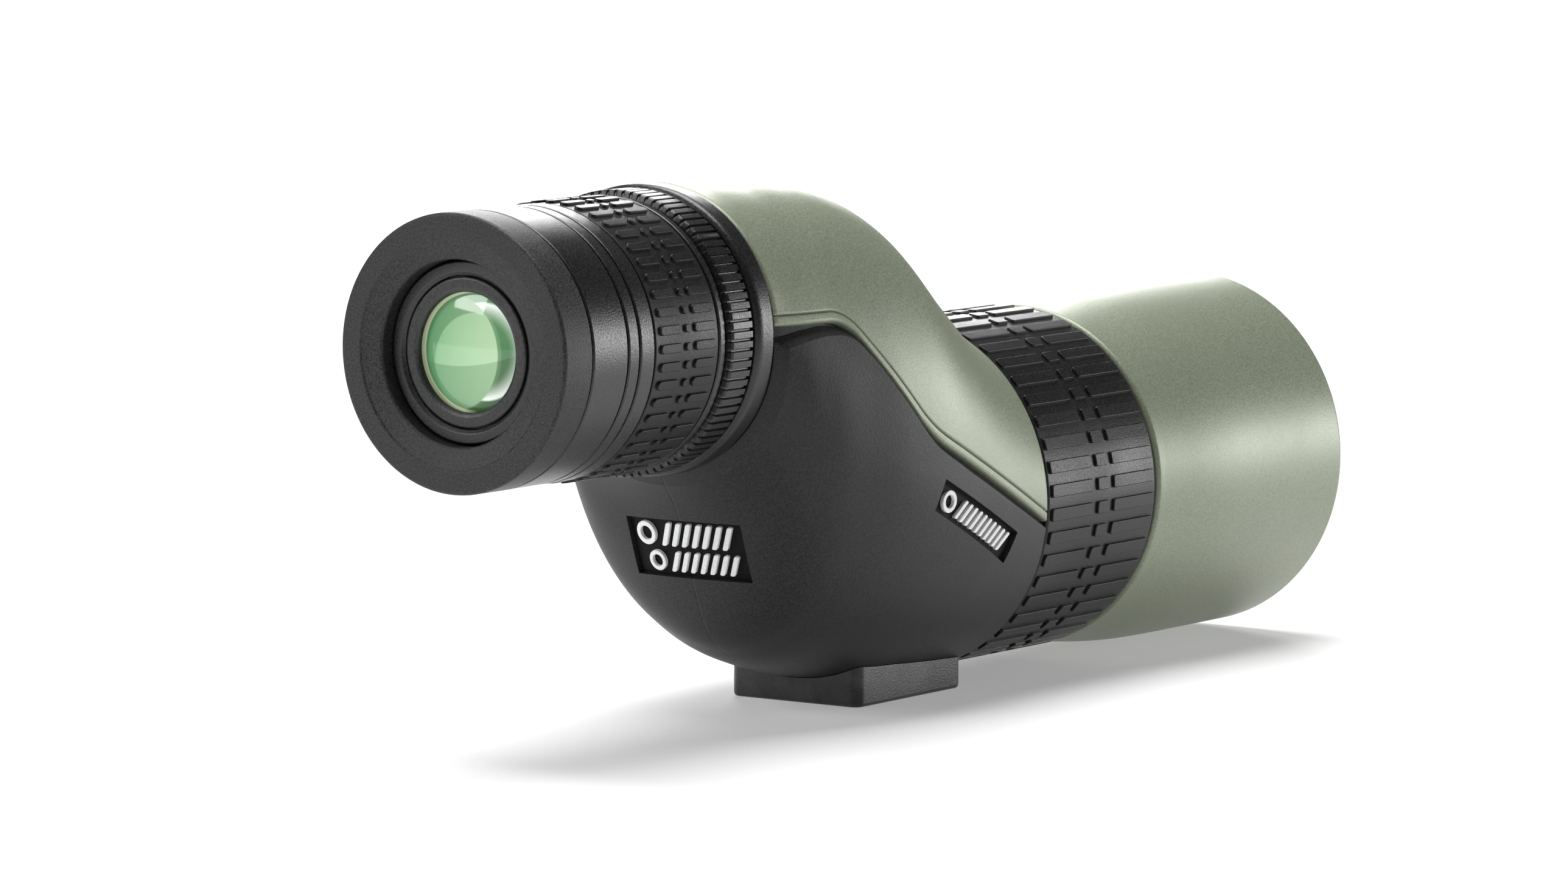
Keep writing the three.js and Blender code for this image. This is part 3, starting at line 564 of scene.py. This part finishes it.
def upper_shell():
    """Green shell: a fine groove runs 2 mm above its long edges, and its ends are softly broken."""
    groove_at, groove_half, groove_deep = 1.95, 0.26, 0.42

    def lift(y, from_start, from_end):
        edge = np.minimum(from_start, from_end)
        groove = -groove_deep * np.clip(1 - np.abs(edge - groove_at) / groove_half, 0, 1) ** 0.7
        lip = -0.55 * np.clip(1 - edge / 0.35, 0, 1) ** 1.6
        rear = -0.35 * np.clip(1 - (y - HOUSING_REAR_Y) / 0.5, 0, 1) ** 1.6
        front = -0.35 * np.clip(1 - (HOUSING_FRONT_Y - y) / 0.5, 0, 1) ** 1.6
        return groove + lip + rear + front

    edge_steps = [0.0, 0.06, 0.13, 0.22, 0.35, 0.8, 1.3, 1.6, 1.7, 1.76, 1.82, 1.88, 1.95, 2.02, 2.08, 2.14,
                  2.2, 2.3, 2.6, 3.2]
    rows = spread_rows([0, 0.08, 0.18, 0.3, 0.5, 0.9], [0, 0.08, 0.18, 0.3, 0.5, 0.9])
    return skin_panel("upper_shell_skin", rows, lambda y: edge_steps, parting_angle,
                      lambda y: math.pi - parting_angle(y), lift, 1.6, "green_paint", "upper_shell",
                      columns=110)


def armour():
    """Black rubber belly: chamfered along the collar and its level top edge, stepped down beside the shell."""
    gap_curve = np.array([(-62.5, 2.3), (-55, 0.9), (-50, 0.35), (-45, 0.75), (-41, 0.5), (-36, 0.3),
                          (-27, 0.3), (-22, 0.8), (-10, 1.15), (5, 1.1), (17.7, 0.7)])
    chamfer_curve = np.array([(-62.5, 2.4), (-48, 2.2), (-42, 1.2), (-38, 0.6), (17.7, 0.6)])
    collar_chamfer, collar_deep, collar_gap, collar_gap_floor = 2.8, 1.3, 0.3, -1.5
    gap_floor = -1.6      # beside the shell, the armour steps down by this

    def edge_at(y):
        """Width of the gap beside the shell, and of the chamfer next to it."""
        return (np.interp(y, gap_curve[:, 0], gap_curve[:, 1]),
                np.interp(y, chamfer_curve[:, 0], chamfer_curve[:, 1]))

    def lift(y, from_start, from_end):
        edge = np.minimum(from_start, from_end)
        gap, chamfer = edge_at(y)
        deep = 0.45 + 0.42 * chamfer
        slope = -deep * np.clip(1 - (edge - gap) / chamfer, 0, 1)
        top = np.where(edge < gap, gap_floor, slope)
        from_rear = y - HOUSING_REAR_Y
        rear = -collar_deep * np.clip(1 - from_rear / collar_chamfer, 0, 1)
        rear = np.where(from_rear < collar_gap, collar_gap_floor, rear)
        front = -0.3 * np.clip(1 - (HOUSING_FRONT_Y - y) / 0.5, 0, 1) ** 1.6
        return np.minimum(top, rear) + front

    def edge_steps(y):
        """The grid follows the edges of the chamfer, so that they stay smooth."""
        gap, chamfer = edge_at(y)
        across_chamfer = gap + chamfer * np.array([0.2, 0.4, 0.6, 0.8, 0.95, 1.0, 1.05])
        beyond = (gap + chamfer + 0.4, gap + chamfer + 0.9, 6.2)
        return [0.0, gap * 0.5, gap - 0.02, gap + 0.02, *across_chamfer, *beyond]

    rows = spread_rows([0, 0.28, 0.32, 0.5, 0.9, 1.4, 1.9, 2.4, 2.7, 2.8, 2.9, 3.5],
                       [0, 0.08, 0.18, 0.3, 0.5, 0.9], 0.8)
    return skin_panel("lower_armour_skin", rows, edge_steps, lambda y: -math.pi - parting_angle(y),
                      parting_angle, lift, 1.7, "armour_rubber", "lower_armour", columns=150)


upper_shell()
armour_piece = armour()


# ------------------------------------------------------------------ badges: recessed plates with a raised motif
TABLE_Y = np.arange(HOUSING_REAR_Y, HOUSING_FRONT_Y, 0.2)
TABLE = np.array([station(y) for y in TABLE_Y])
REAR_ROWS = 140       # rows of the table that hold the belly's rear face


def rear_surface(x, z):
    """y of the belly's rear face behind a point of the badge."""
    crown, belly, half_width, wide, top_power, bottom_power = TABLE[:REAR_ROWS].T
    height = np.where(z >= wide, crown - wide, wide - belly)
    power = np.where(z >= wide, top_power, bottom_power)
    out = np.abs(x / half_width) ** power + np.abs((z - wide) / height) ** power - 1
    return float(np.interp(0.0, -out, TABLE_Y[:REAR_ROWS]))


def side_surface(y, z):
    """Half width of the housing at a point of its side."""
    crown, belly, half_width, wide, top_power, bottom_power = (
        np.interp(y, TABLE_Y, column) for column in TABLE.T)
    height, power = (crown - wide, top_power) if z >= wide else (wide - belly, bottom_power)
    return half_width * max(0.0, 1 - abs((z - wide) / height) ** power) ** (1 / power)


def surface_place(point_at):
    """Turns (a, b, height) on a badge into a place, along the normal of the surface that point_at gives."""
    def place(a, b, height):
        step = 0.2
        here = np.array(point_at(a, b))
        normal = np.cross(np.array(point_at(a + step, b)) - here, np.array(point_at(a, b + step)) - here)
        return here + normal / np.linalg.norm(normal) * height
    return place


REAR_BADGE = {"length": 26.2, "width": 11.2, "z": 32.7}
SIDE_BADGE = {"length": 28.6, "width": 6.4, "y": -8.0, "z": 36.0, "tilt": 0.457}


def rear_badge_point(a, b):
    return (a, rear_surface(a, REAR_BADGE["z"] + b), REAR_BADGE["z"] + b)


def side_badge_point(side):
    cos, sin = math.cos(SIDE_BADGE["tilt"]), math.sin(SIDE_BADGE["tilt"])

    def point(a, b):
        y = SIDE_BADGE["y"] + side * a * cos + b * sin
        z = SIDE_BADGE["z"] - side * a * sin + b * cos
        return (side * side_surface(y, z), y, z)
    return point


def plate_grid(place, length, width, low, high):
    """A thin plate that follows the surface, from height low to height high."""
    columns, rows = 48, 20
    along = np.linspace(-length / 2, length / 2, columns)
    across = np.linspace(-width / 2, width / 2, rows)
    top = [place(a, b, high) for b in across for a in along]
    bottom = [place(a, b, low) for b in across for a in along]
    return np.array(top + bottom), sheet_faces(rows, columns)


def motif_ring(place, centre, outer, inner, height, base):
    """A raised ring on a badge."""
    segments = 40
    vertices = []
    for radius, level in ((inner, base), (outer, base), (outer, height - 0.08), (outer - 0.1, height),
                          (inner + 0.1, height), (inner, height - 0.08)):
        for angle in np.linspace(0, 2 * math.pi, segments, endpoint=False):
            across, up = radius * math.cos(angle), radius * math.sin(angle)
            vertices.append(place(centre[0] + across, centre[1] + up, level))
    return np.array(vertices), grid_faces(6, segments, True, True)


def motif_bar(place, centre, length, width, height, base):
    outline = rounded_rectangle(length, width, min(length, width) * 0.3)
    levels = [(0.0, base), (0.0, height - 0.1), (0.1, height)]
    return raised_pad(outline, levels, lambda a, b, h: place(centre[0] + a, centre[1] + b, h))


def take_out(piece, solids):
    """Takes closed bodies out of a piece for good."""
    tools = []
    for index, (vertices, faces) in enumerate(solids):
        mesh = bpy.data.meshes.new(f"{piece.name}_tool_{index}")
        mesh.from_pydata([tuple(v) for v in np.asarray(vertices) * MM], [], faces)
        tool = new_object(mesh.name, mesh)
        face_outward(mesh)
        modifier = piece.modifiers.new(mesh.name, "BOOLEAN")
        modifier.operation = "DIFFERENCE"
        modifier.solver = "EXACT"
        modifier.object = tool
        tools.append(tool)
    evaluated = piece.evaluated_get(bpy.context.evaluated_depsgraph_get())
    result = bpy.data.meshes.new_from_object(evaluated)
    piece.modifiers.clear()
    piece.data = result
    for tool in tools:
        bpy.data.objects.remove(tool)


def badge(node, point_at, length, width, motif):
    """Cuts the recess into the armour, then sets the plate and its motif in it."""
    place = surface_place(point_at)
    recess, cutter_top, plate, motif_base, motif_top = 1.25, 1.5, -0.95, -1.0, -0.25
    plate_gap, plate_lift = 0.5, 0.1
    take_out(armour_piece, [plate_grid(place, length, width, -recess, cutter_top)])
    vertices, faces = plate_grid(place, length - plate_gap, width - plate_gap, -recess + plate_lift, plate)
    make_piece(node + "_plate", vertices, faces, "badge_plate", BODY_OF[node], (node,), SLOT_OF[node])
    vertices, faces = joined([shape(place, motif_top, motif_base) for shape in motif])
    make_piece(node + "_motif", vertices, faces, "mark_paint", BODY_OF[node], (), SLOT_OF[node])


def ring_shape(centre, outer, inner):
    return lambda place, top, base: motif_ring(place, centre, outer, inner, top, base)


def slant_shape(centre, length, width):
    """A leaning stroke."""
    lean = 0.45

    def shape(place, top, base):
        def leaning(a, b, h):
            return place(a + lean * (b - centre[1]), b, h)
        return motif_bar(leaning, centre, width, length, top, base)
    return shape


def motif_row(left, centre_z, height, widths, gap):
    """A ring, then leaning strokes of the given widths."""
    ring_r = height / 2
    shapes = [ring_shape((left + ring_r, centre_z), ring_r, ring_r * 0.6)]
    x = left + 2 * ring_r + gap + height * 0.2
    for width in widths:
        shapes.append(slant_shape((x + width / 2, centre_z), height, width))
        x += width + gap
    return shapes


rear_motif = motif_row(-11.4, 2.5, 4.5, (1.15,) * 7, 1.15)
rear_motif += motif_row(-9.6, -2.75, 3.9, (1.1,) * 7, 1.1)
badge("rear_badge", rear_badge_point, REAR_BADGE["length"], REAR_BADGE["width"], rear_motif)

side_motif = motif_row(-12.8, 0.0, 4.3, (1.0,) * 10, 0.9)
for side, node in ((1, "side_badge_right"), (-1, "side_badge_left")):
    badge(node, side_badge_point(side), SIDE_BADGE["length"], SIDE_BADGE["width"], side_motif)
armour_piece.data.shade_smooth()
armour_piece.data.set_sharp_from_angle(angle=math.radians(13))


# ------------------------------------------------------------------ objective end
turned_piece("objective_barrel_shell", [
    (30.4, 57.7, 0.1), (33.0, 57.7, 0.3), (33.65, 58.2, 0.5), (33.75, 60.0, 1.5), (34.3, 66.0, 5),
    (35.2, 74.0, 6), (35.8, 82.0, 6), (36.0, 92.0, 6), (36.0, FRONT_Y - 1.0, 0.5), (35.4, FRONT_Y, 0.5),
    (34.1, FRONT_Y, 0.3),
    (33.2, FRONT_Y - 1.2, 0.3), (33.2, 88.0, 0.3), (30.4, 88.0, 0.1)],
    OBJECTIVE_Z, "green_paint", "objective_barrel")


def hood_baffles():
    """Matt black lining of the hood, with fine threads that catch stray light."""
    threads_front, threads_rear, crest_r, root_r = FRONT_Y - 2.0, 107.2, 32.6, 32.9
    lining_front, back_r = FRONT_Y - 1.6, 33.1
    profile = [(32.95, lining_front, 0.1)]
    turns = 14
    pitch = (threads_front - threads_rear) / turns
    for i in range(turns):
        y = threads_front - i * pitch
        profile += [(crest_r, y, 0.05), (root_r, y - pitch / 2, 0.05)]
    profile += [(crest_r, threads_rear, 0.1), (back_r, threads_rear, 0.05), (back_r, lining_front, 0.05)]
    vertices, faces = turned(profile, OBJECTIVE_Z, MEDIUM)
    return make_piece("hood_lining", vertices, faces, "matt_black_metal", "main_body")


hood_baffles()


def smooth_lens(name, node, radius, rear, front, axis_z, material):
    """A lens between two smooth faces, each given by its y at the rim and on the axis."""
    steps, segments = 14, MEDIUM

    def face(rim, vertex):
        return [(radius * i / steps, vertex + (rim - vertex) * (i / steps) ** 2) for i in range(steps + 1)]

    outline = face(*rear) + face(*front)[::-1]
    outline = [p for p in outline if p[0] > 0]
    angles = np.linspace(0, 2 * math.pi, segments, endpoint=False)
    vertices = [(r * math.sin(a), y, axis_z + r * math.cos(a)) for r, y in outline for a in angles]
    faces = grid_faces(len(outline), segments, False, True)
    vertices += [(0, rear[1], axis_z), (0, front[1], axis_z)]
    rear_centre, front_centre = len(vertices) - 2, len(vertices) - 1
    last = (len(outline) - 1) * segments
    for j in range(segments):
        faces.append((rear_centre, (j + 1) % segments, j))
        faces.append((front_centre, last + j, last + (j + 1) % segments))
    return make_piece(name, vertices, faces, material, BODY_OF[node], (node,), SLOT_OF[node], sharp=30,
                      weighted=False)


smooth_lens("crown_lens", "objective_crown_lens", 29.0, (99.2, 95.9), (102.6, 105.6), OBJECTIVE_Z,
            "coated_glass")
smooth_lens("flint_lens", "objective_flint_lens", 29.0, (91.4, 91.0), (98.9, 95.6), OBJECTIVE_Z,
            "coated_glass")
turned_piece("objective_retainer", [
    (28.0, 104.6), (32.8, 104.6), (32.8, 106.6, 0.1), (31.6, 106.6, 0.1), (31.4, 106.2, 0.1),
    (30.6, 106.2, 0.1), (30.4, 106.6, 0.1), (29.0, 106.6, 0.3), (28.0, 105.4, 0.2)],
    OBJECTIVE_Z, "matt_black_metal", "objective_retaining_ring", MEDIUM)
turned_piece("objective_lens_cell", [
    (27.5, 88.3), (32.9, 88.3), (32.9, 95.2), (31.2, 95.2), (31.2, 97.4), (32.9, 97.4), (32.9, 104.3),
    (29.3, 104.3), (29.3, 90.2), (27.5, 90.2)], OBJECTIVE_Z, "matt_black_metal", "objective_cell", MEDIUM)

# ------------------------------------------------------------------ focus ring
BAR_LEVELS = [(0.0, -0.35), (0.0, 0.36), (0.07, 0.48), (0.16, 0.52)]
focus_bars = [(rear, front, 2.45, 0.45) for rear, front in ((19.6, 33.9), (35.6, 39.5), (41.2, 55.5))]
turned_piece("focus_grip", [
    (32.6, 18.4, 0.1), (33.1, 18.4, 0.3), (FOCUS_BASE_R, 18.9, 0.3), (FOCUS_BASE_R, 56.3, 0.3),
    (33.2, 56.7, 0.2), (32.6, 56.9, 0.1)], OBJECTIVE_Z, "grip_rubber", "focus_ring_rubber",
    extra=bar_rows(FOCUS_ROWS, focus_bars, OBJECTIVE_Z, FOCUS_BASE_R, BAR_LEVELS))
turned_piece("focus_core", [
    (30.4, 18.3), (32.3, 18.3), (32.3, 57.1), (30.4, 57.1)],
    OBJECTIVE_Z, "satin_black_metal", "focus_ring_core", MEDIUM)

# ------------------------------------------------------------------ eyepiece seat and lock collar
turned_piece("seat_collar", [
    (20.6, -67.7), (26.2, -67.7, 0.3), (26.9, -67.2, 0.4), (27.1, -66.4, 0.5), (27.1, -63.1, 0.4),
    (26.7, -62.8, 0.3), (20.6, -62.8)], EYEPIECE_Z, "satin_black_metal", "eyepiece_seat")


def knurl(r, angles):
    """Flat-topped ridges with grooves between them. Widths are shares of half a ridge's spacing."""
    inner_r, depth, foot_width, flank_width = 25.6, 0.60, 0.76, 0.13
    if r < inner_r:
        return np.full_like(angles, r)
    from_ridge = np.abs((KNURLS * angles / (2 * math.pi)) % 1.0 - 0.5) * 2
    return r - depth * (1 - np.clip((foot_width - from_ridge) / flank_width, 0.0, 1.0))


turned_piece("lock_collar_knurled", [
    (20.6, -75.0), (25.0, -75.0, 0.05), (26.1, -74.8, 0.05), (26.4, -74.45, 0.1), (26.4, -73.0, 0.1),
    (26.4, -70.0, 0.1), (26.4, -68.55, 0.1), (26.1, -68.2, 0.05), (25.0, -68.0, 0.05), (20.6, -68.0)],
    EYEPIECE_Z, "satin_black_metal", "lock_collar", KNURLS * 16, knurl)

# ------------------------------------------------------------------ zoom ring
PILL_LEVELS = [(0.0, -0.35), (0.0, 0.32), (0.06, 0.44), (0.16, 0.50)]
zoom_bars = [(-95.35, -89.05, 1.7, 0.75), (-87.85, -86.15, 1.5, 0.6), (-85.0, -78.7, 1.7, 0.75)]
turned_piece("zoom_grip", [
    (24.2, -96.6, 0.1), (ZOOM_BASE_R, -96.6, 0.25), (ZOOM_BASE_R, -77.6, 0.25), (24.2, -77.6, 0.1)],
    EYEPIECE_Z, "grip_rubber", "zoom_ring_rubber",
    extra=bar_rows(ZOOM_ROWS, zoom_bars, EYEPIECE_Z, ZOOM_BASE_R, PILL_LEVELS))
turned_piece("zoom_core", [
    (20.6, -101.1), (23.9, -101.1), (23.9, -77.3), (25.2, -77.3, 0.15), (25.35, -77.0, 0.15),
    (25.35, -75.7, 0.25), (25.0, -75.3, 0.2), (20.6, -75.3)], EYEPIECE_Z, "satin_black_metal", "zoom_ring_core")
turned_piece("zoom_scale", [
    (24.2, -101.1), (25.1, -101.1, 0.15), (25.25, -100.8, 0.15), (25.25, -97.2, 0.15), (25.1, -96.9, 0.15),
    (24.2, -96.9)], EYEPIECE_Z, "satin_black_metal", "zoom_scale_ring")
turned_piece("index_band", [
    (20.6, -104.5), (25.05, -104.5, 0.15), (25.2, -104.2, 0.15), (25.2, -101.7, 0.15), (25.05, -101.4, 0.15),
    (20.6, -101.4)], EYEPIECE_Z, "satin_black_metal", "index_ring")


def ring_number(text, angle, body, name):
    """A printed number on the zoom scale, bent round the ring."""
    middle_y, proud, sunk = -99.0, 0.05, -0.05
    curve = bpy.data.curves.new(name + "_outline", "FONT")
    curve.body = text
    curve.size = 3.0
    curve.align_x = "CENTER"
    curve.align_y = "CENTER"
    holder = new_object(name + "_outline", curve)
    flat = bpy.data.meshes.new_from_object(holder.evaluated_get(bpy.context.evaluated_depsgraph_get()))
    bpy.data.objects.remove(holder)
    edit = bmesh.new()
    edit.from_mesh(flat)
    bmesh.ops.triangulate(edit, faces=edit.faces)
    grown = bmesh.ops.extrude_face_region(edit, geom=edit.faces[:])
    top = [v for v in grown["geom"] if isinstance(v, bmesh.types.BMVert)]
    for v in top:
        v.co.z += 1.0
    for v in edit.verts:
        around = angle - v.co.x / SCALE_R
        r = SCALE_R + (proud if v.co.z > 0.5 else sunk)
        v.co = Vector((r * math.sin(around), middle_y + v.co.y, EYEPIECE_Z + r * math.cos(around))) * MM
    bmesh.ops.recalc_face_normals(edit, faces=edit.faces)
    edit.to_mesh(flat)
    edit.free()
    flat.name = name
    flat.materials.clear()
    flat.materials.append(MATERIALS["mark_paint"])
    piece = new_object(name, flat)
    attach(piece, body)


NUMBER_SPACING = -22  # degrees
for index, number in enumerate(("15", "20", "25", "30", "35", "40")):
    ring_number(number, math.radians(NUMBER_SPACING * index), "zoom_ring", f"zoom_number_{number}")
dot = raised_pad(rounded_rectangle(1.3, 1.3, 0.6), [(0.0, -0.1), (0.0, 0.05), (0.1, 0.08)],
                 on_ring(EYEPIECE_Z, INDEX_R, -102.9, 0.0))
make_piece("index_dot", *dot, "mark_paint", "main_body", (), "satin_black_metal")

# ------------------------------------------------------------------ eyecup
turned_piece("eyecup_metal_sleeve", [
    (23.0, -104.8, 0.1), (25.0, -104.8, 0.2), (25.2, -105.1, 0.2), (25.25, -114.8, 0.2), (25.05, -115.1, 0.15),
    (23.8, -115.1, 0.1), (23.8, -120.4, 0.1), (20.2, -120.4, 0.1), (20.2, -115.1, 0.1), (23.0, -115.1, 0.1)],
    EYEPIECE_Z, "satin_black_metal", "eyecup_sleeve")
turned_piece("eyecup_soft_rim", [
    (24.1, -115.35, 0.1), (25.0, -115.35, 0.2), (25.25, -115.6, 0.25), (25.25, REAR_Y, 0.75),
    (21.0, REAR_Y, 0.3), (20.7, -123.15, 0.2), (17.1, -122.25, 0.3), (16.8, -121.9, 0.3), (16.8, -116.2, 0.2),
    (19.9, -116.2, 0.1),
    (19.9, -120.7, 0.1), (24.1, -120.7, 0.1)],
    EYEPIECE_Z, "eyecup_rubber", "eyecup_rubber")
turned_piece("eyecup_inner_guide", [
    (20.6, -114.6), (21.6, -114.6, 0.15), (21.6, -104.8, 0.1), (20.6, -104.8)], EYEPIECE_Z, "matt_black_metal",
    "eyecup_guide")
turned_piece("eyecup_slide_ring", [
    (21.9, -114.4), (22.7, -114.4), (22.7, -104.9), (21.9, -104.9)], EYEPIECE_Z, "black_plastic",
    "eyecup_carrier", MEDIUM)

# ------------------------------------------------------------------ eye lens group
turned_piece("eye_cell", [
    (12.6, -105.0), (18.5, -105.0), (18.5, -111.6), (16.4, -111.6), (16.4, -119.3, 0.2), (16.2, -119.7, 0.25),
    (14.5, -119.7, 0.2), (14.2, -119.4, 0.15), (13.8, -119.1, 0.1), (13.8, -118.0, 0.1), (12.6, -118.0)],
    EYEPIECE_Z, "matt_black_metal", "eye_lens_cell")
turned_piece("eye_retainer", [
    (10.8, -118.3, 0.1), (13.5, -118.3, 0.1), (13.5, -119.3, 0.15), (13.2, -119.5, 0.15), (11.6, -119.5, 0.2),
    (10.95, -119.2, 0.2), (10.8, -118.8, 0.1)], EYEPIECE_Z, "matt_black_metal", "eye_lens_retainer")
# the outer eye lens carries the green coating with painted reflections, highlights, shade and glow
smooth_lens("eye_lens_outer", "eye_lens_front", 12.3, (-117.0, -119.0), (-113.2, -113.1), EYEPIECE_Z,
            "eye_lens_coating")
smooth_lens("eye_lens_inner", "eye_lens_rear", 12.3, (-111.4, -111.9), (-107.4, -106.0), EYEPIECE_Z,
            "coated_glass")


# ------------------------------------------------------------------ tripod foot
def foot_outline(inset):
    """Rectangle with rounded corners."""
    half, rear, front, corner = 15.0, -18.6, 16.8, 2.2
    outline = rounded_rectangle(2 * (half - inset), front - rear - 2 * inset, corner - inset, 10)
    return outline + np.array([0, (front + rear) / 2])


def tripod_foot():
    """Foot block with a softened lower edge, before the belly, the bush and the screws are cut out of it."""
    levels = [(0.9, 0.0), (0.4, 0.1), (0.12, 0.35), (0.0, 0.8), (0.0, 12.0)]
    rings = [[(x, y, z) for x, y in foot_outline(inset)] for inset, z in levels]
    count = len(rings[0])
    vertices = [p for ring in rings for p in ring]
    faces = grid_faces(len(rings), count, False, True)
    faces.append(tuple(range(count)))
    faces.append(tuple((len(rings) - 1) * count + i for i in range(count)))
    return make_piece("foot_block", vertices, faces, "satin_black_metal", "main_body", ("tripod_foot",),
                      "satin_black_metal", weighted=False)


def belly_solid(clearance):
    """The housing skin grown by a clearance, as a closed body for cutting out."""
    rows = np.linspace(HOUSING_REAR_Y, HOUSING_FRONT_Y, 90)
    angles = np.linspace(0, 2 * math.pi, 160, endpoint=False)
    vertices = np.concatenate([skin(y, angles) + skin_normal(y, angles) * clearance for y in rows])
    return vertices, tube_faces(len(rows), len(angles))


def cylinder_solid(x, y, radius, low, high):
    segments = 48
    angles = np.linspace(0, 2 * math.pi, segments, endpoint=False)
    vertices = [(x + radius * math.cos(a), y + radius * math.sin(a), z) for z in (low, high) for a in angles]
    return np.array(vertices), tube_faces(2, segments)


UNDERSIDE = -1        # starts every hole below the foot
FOOT_SCREWS = [(x, y) for x in (-9.8, 9.8) for y in (-12.8, 6.0)]
foot = tripod_foot()
foot_tools = [belly_solid(0.12), cylinder_solid(0, -1.0, 5.5, UNDERSIDE, 13)]
for x, y in FOOT_SCREWS:
    foot_tools += [cylinder_solid(x, y, 3.2, UNDERSIDE, 2.0), cylinder_solid(x, y, 2.0, UNDERSIDE, 12)]
take_out(foot, foot_tools)
foot.data.shade_smooth()
foot.data.set_sharp_from_angle(angle=math.radians(40))
keep_even_normals(foot)


# ------------------------------------------------------------------ floor, lights and camera
def stage_floor():
    """A pale disc. It gives off a little light of its own, so it is whiter than the lights alone make it."""
    mesh = bpy.data.meshes.new("floor")
    reach, points = 1.5, 96
    angles = np.linspace(0, 2 * math.pi, points, endpoint=False)
    edge = [(reach * math.cos(a), reach * math.sin(a), 0) for a in angles]
    mesh.from_pydata(edge, [], [tuple(range(points))])
    floor = new_object("floor", mesh)
    n = Nodes("floor_paper")
    grain = n.noise(60.0, 2.0)
    colour = n.mix(n.ramp(grain, 0.3, 0.7), (0.60, 0.60, 0.60, 1), (0.63, 0.63, 0.63, 1))
    mesh.materials.append(n.finish(
        Base_Color=colour, Roughness=0.9, Emission_Color=(1, 1, 1, 1), Emission_Strength=0.30))


def softbox(name, place, target, width, height, power):
    light = bpy.data.lights.new(name, "AREA")
    light.shape = "RECTANGLE"
    light.size = width
    light.size_y = height
    light.energy = power
    lamp = new_object(name, light)
    lamp.location = place
    lamp.rotation_euler = (Vector(target) - Vector(place)).to_track_quat("-Z", "Y").to_euler()


def studio():
    """Four softboxes, and a world that is bright to the camera but adds little light to the scope."""
    middle = (0, 0, 0.05)
    softbox("softbox_top", (-0.25, 0.10, 1.5), middle, 1.2, 1.1, 40)
    softbox("softbox_right_rim", (0.95, 1.34, 0.15), middle, 0.60, 0.28, 8.5)
    softbox("softbox_left_rim", (-0.95, 1.30, 0.66), middle, 0.60, 0.60, 13)
    softbox("softbox_left_front", (-0.95, -1.25, 0.75), middle, 0.6, 0.7, 13)
    world = bpy.data.worlds.new("studio_air")
    world.use_nodes = True
    tree = world.node_tree
    path = tree.nodes.new("ShaderNodeLightPath")
    strength = tree.nodes.new("ShaderNodeMapRange")
    strength.inputs["To Min"].default_value = 0.07
    strength.inputs["To Max"].default_value = 1.05
    tree.links.new(path.outputs["Is Camera Ray"], strength.inputs["Value"])
    tree.links.new(strength.outputs["Result"], tree.nodes["Background"].inputs["Strength"])
    tree.nodes["Background"].inputs["Color"].default_value = (1, 1, 1, 1)
    bpy.context.scene.world = world
    bpy.context.scene.view_settings.view_transform = "Standard"


def photo_camera():
    data = bpy.data.cameras.new("camera")
    data.lens = PHOTO_CAMERA["lens"]
    data.sensor_width = 36.0
    data.clip_start = 0.05
    data.clip_end = 50.0
    camera = new_object("camera", data)
    camera.location = PHOTO_CAMERA["place"]
    camera.rotation_euler = (
        math.radians(90 - PHOTO_CAMERA["elevation"]), 0, math.radians(PHOTO_CAMERA["azimuth"]))
    bpy.context.scene.camera = camera


stage_floor()
studio()
photo_camera()
